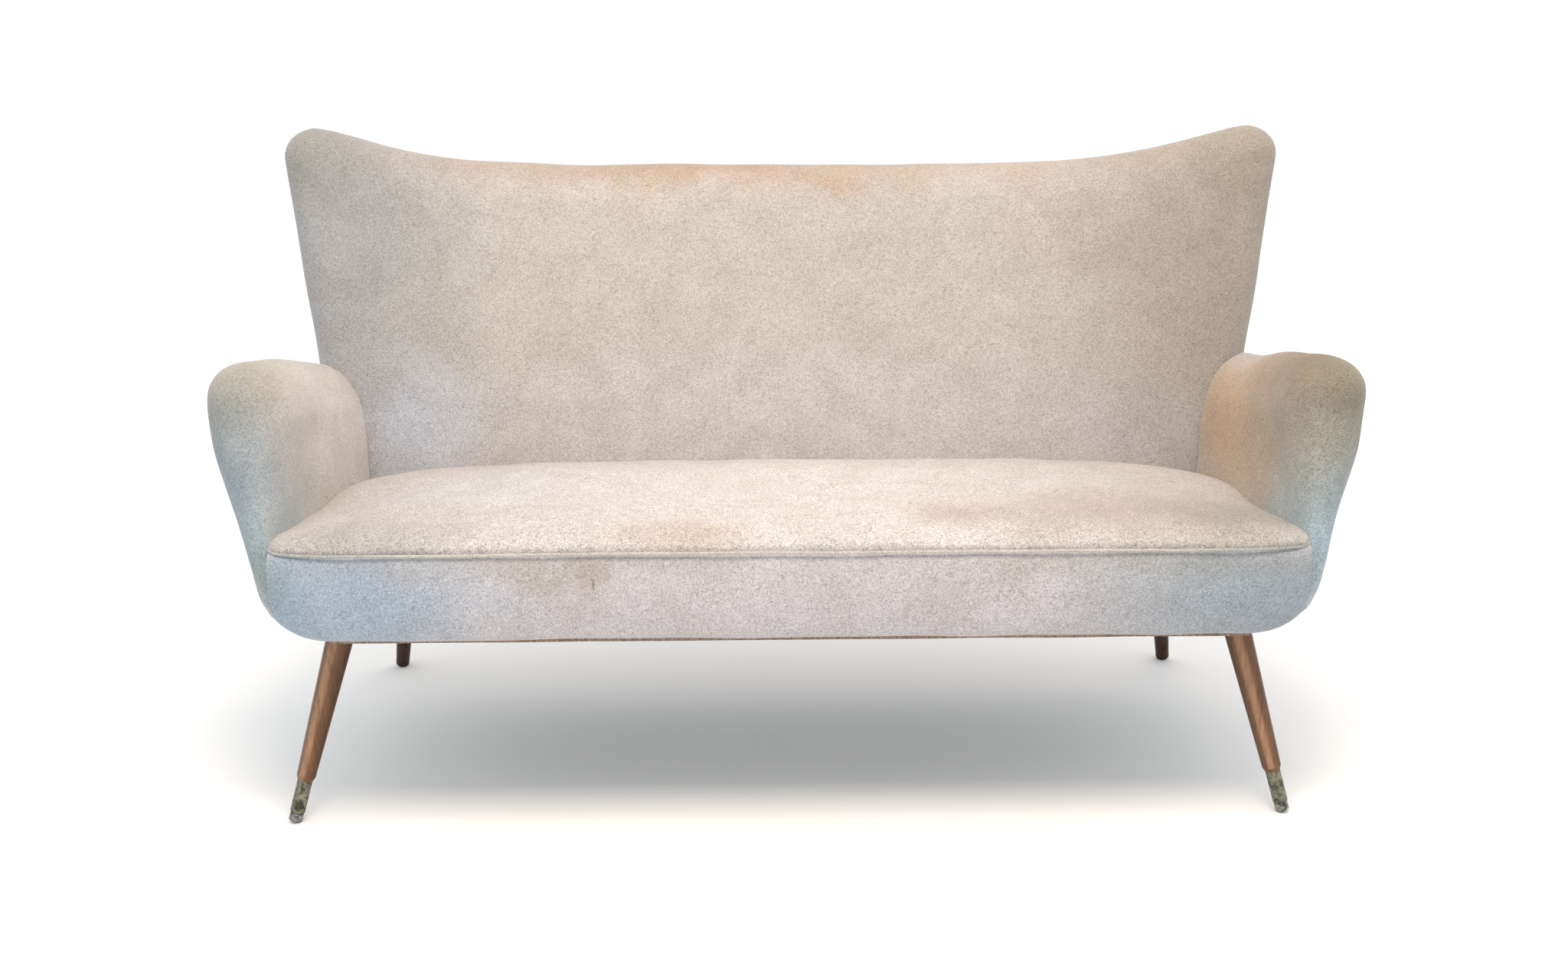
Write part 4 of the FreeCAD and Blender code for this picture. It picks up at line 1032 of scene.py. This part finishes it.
def tube_rows(path, radius, sides):
    rows = []
    for index, point in enumerate(path):
        before, after = path[max(index - 1, 0)], path[min(index + 1, len(path) - 1)]
        run = (after - before).normalized()
        out = run.cross(Vector((0, 0, 1))).normalized()
        up = out.cross(run)
        turn = [2 * math.pi * k / sides for k in range(sides)]
        rows.append([point + (out * math.cos(a) + up * math.sin(a)) * radius for a in turn])
    return rows


piping = sewn("seat_piping", tube_rows(piping_path(), piping_radius, piping_sides), ring=True, capped=True)
smoothed(piping)
# Painted shade at both ends, where the piping dives between the seat and the arms
piping_cloth = loop_pile_finish("piping_cloth", [
    ((0.72, -0.34, 0.44), (0.24, 0.2, 0.1), (0.70, 0.76, 0.78), 0.95),
    ((-0.72, -0.34, 0.44), (0.24, 0.2, 0.1), (0.72, 0.80, 0.86), 0.95),
], tint=(1.05, 1.06, 1.06))
finished(piping, piping_cloth)
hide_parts("seat_welt")


# Tack strip: a narrow strip of brown paper board nailed along the front's lower edge, over the turned-in
# cloth; it follows the rounded corners and shows as a thin brown line under the cloth.

strip_brown = (0.20, 0.145, 0.110)
strip_front_y = -0.3795
strip_depth = 0.024
strip_low_z = 0.3055
strip_high_z = 0.3125
strip_end_x = 0.655
strip_points = 84
strip_waver = 0.0007
fleck_depth_m = 0.0004


def flecked_finish(name, colour, fleck_m, roughness):
    """One plain colour with fine flecks darker and paler than it."""
    finish, nodes, links, shader, place = new_finish(name)
    fleck = mottle(nodes, links, place, fleck_m, detail=3.0, distortion=0.5)
    darker = tuple(channel * 0.6 for channel in colour)
    paler = tuple(channel * 1.5 for channel in colour)
    links.new(shaded(nodes, links, fleck, [(0.35, darker), (0.65, paler)]), shader.inputs["Base Color"])
    shader.inputs["Roughness"].default_value = roughness
    raised(nodes, links, shader, fleck, strength=0.4, depth_m=fleck_depth_m)
    return finish


def strip_rows():
    rows = []
    for index in range(strip_points + 1):
        x = mix(-strip_end_x, strip_end_x, index / strip_points)
        front = front_edge_at(x, strip_front_y, border_half)
        rear = front + strip_depth
        wave = strip_waver * noise.noise(Vector((x * 9, 2.0, 5.0)))
        corners = [(front, strip_low_z), (front, strip_high_z), (rear, strip_high_z), (rear, strip_low_z)]
        rows.append([Vector((x, y, z + wave)) for y, z in corners])
    return rows


tack_strip = sewn("tack_strip", strip_rows(), ring=True, capped=True)
tack_strip.data.shade_flat()
brown_board = flecked_finish("brown_strip", strip_brown, fleck_m=0.004, roughness=0.8)
finished(tack_strip, brown_board)
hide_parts("front_tack_strip")


# Dust cover: thin black cambric stapled flat under the frame all round; it hangs a few millimetres in the
# middle of each bay, and its front corners are cut back.

cambric_black = (0.020, 0.020, 0.022)
cover_low, cover_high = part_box("dust_cover")
cover_reach = 0.0075
cover_sag = 0.0045
cover_waver = 0.0012
cover_step = 0.022
cambric_m = 0.0008
brace_half = 0.030
cover_corner_across = 0.080
cover_corner_deep = 0.044


def cover_rows():
    """Rows across the cover from front to rear, drawn in where the front corners are cut back."""
    rows = []
    half, front_y = cover_high[0] + cover_reach, cover_low[1] - cover_reach
    rear_y, z = cover_high[1] + cover_reach, cover_high[2]
    lengthways = round((rear_y - front_y) / cover_step)
    across = round(half / cover_step) * 2
    for index in range(lengthways + 1):
        y = mix(front_y, rear_y, index / lengthways)
        cut = cover_corner_across * max(0.0, 1 - (y - front_y) / cover_corner_deep)
        row = []
        for column in range(across + 1):
            x = mix(-half + cut, half - cut, column / across)
            bay = clamped((abs(x) - brace_half) / (half - brace_half))
            sag = cover_sag * math.sin(math.pi * bay) * math.sin(math.pi * (y - front_y) / (rear_y - front_y))
            wave = cover_waver * noise.noise(Vector((x * 7, y * 4, 3.0))) * math.sin(math.pi * bay)
            row.append(Vector((x, y, z - sag - abs(wave))))
        rows.append(row)
    return rows


dust_cover = sewn("dust_sheet", cover_rows())
dust_thickness = dust_cover.modifiers.new("cloth_thickness", "SOLIDIFY")
dust_thickness.thickness = cambric_m
cambric = flecked_finish("black_cambric", cambric_black, fleck_m=0.0015, roughness=0.95)
finished(dust_cover, cambric)
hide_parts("dust_cover")


# Studio: a plain pale floor, a white surround, one large soft light above the front, a weak warm one above
# the right side and a narrow low one for the gloss on the legs. The camera stands as for the photograph.

floor_half = 400.0
floor_white = (0.96, 0.955, 0.95)
surround_white = (0.96, 0.985, 1.0, 1.0)
surround_strength = 1.08
camera_place = (-0.0499, -2.6204, 1.1764)
camera_lens_mm = 38.67
camera_yaw = 0.01744
camera_pitch = -0.28069
camera_roll = -0.00264

floor = sewn("floor", [[(x, y, 0.0) for x in (-floor_half, floor_half)] for y in (-floor_half, floor_half)])
floor_finish, nodes, links, shader, place = new_finish("floor_paper")
speck = mottle(nodes, links, place, size_m=0.5, detail=2.0)
floor_paler = tuple(channel * 1.01 for channel in floor_white)
links.new(shaded(nodes, links, speck, [(0.3, floor_white), (0.7, floor_paler)]), shader.inputs["Base Color"])
shader.inputs["Roughness"].default_value = 0.9
floor.data.materials.append(floor_finish)


def softbox(name, place, aim, size, power, colour):
    lamp = bpy.data.lights.new(name, "AREA")
    lamp.shape = "RECTANGLE"
    lamp.size, lamp.size_y = size
    lamp.energy = power
    lamp.color = colour
    holder = bpy.data.objects.new(name, lamp)
    holder.location = place
    holder.rotation_euler = (Vector(aim) - Vector(place)).to_track_quat("-Z", "Y").to_euler()
    bpy.context.scene.collection.objects.link(holder)


softbox("key_light", place=(0.0, -1.2, 2.6), aim=(0.0, 0.05, 0.5), size=(1.4, 0.9), power=50.0,
        colour=(1.0, 0.85, 0.70))
softbox("strip_light", place=(-1.0, -2.3, 0.45), aim=(0.0, -0.30, 0.20), size=(0.14, 0.9), power=2.5,
        colour=(1.0, 0.93, 0.86))
softbox("warm_light", place=(0.8, 0.9, 2.6), aim=(0.1, 0.2, 0.7), size=(1.2, 1.0), power=7.0,
        colour=(1.0, 0.66, 0.40))

surround = bpy.data.worlds.new("surround")
surround.use_nodes = True
set_to(surround.node_tree.nodes["Background"], {"Color": surround_white, "Strength": surround_strength})
bpy.context.scene.world = surround
bpy.context.scene.view_settings.view_transform = "Standard"

camera_data = bpy.data.cameras.new("camera")
camera_data.lens = camera_lens_mm
camera = bpy.data.objects.new("camera", camera_data)
camera.matrix_world = (Matrix.Translation(camera_place) @ Matrix.Rotation(-camera_yaw, 4, "Z")
                       @ Matrix.Rotation(math.pi / 2 + camera_pitch, 4, "X")
                       @ Matrix.Rotation(camera_roll, 4, "Z"))
bpy.context.scene.collection.objects.link(camera)
bpy.context.scene.camera = camera

bpy.context.view_layer.update()
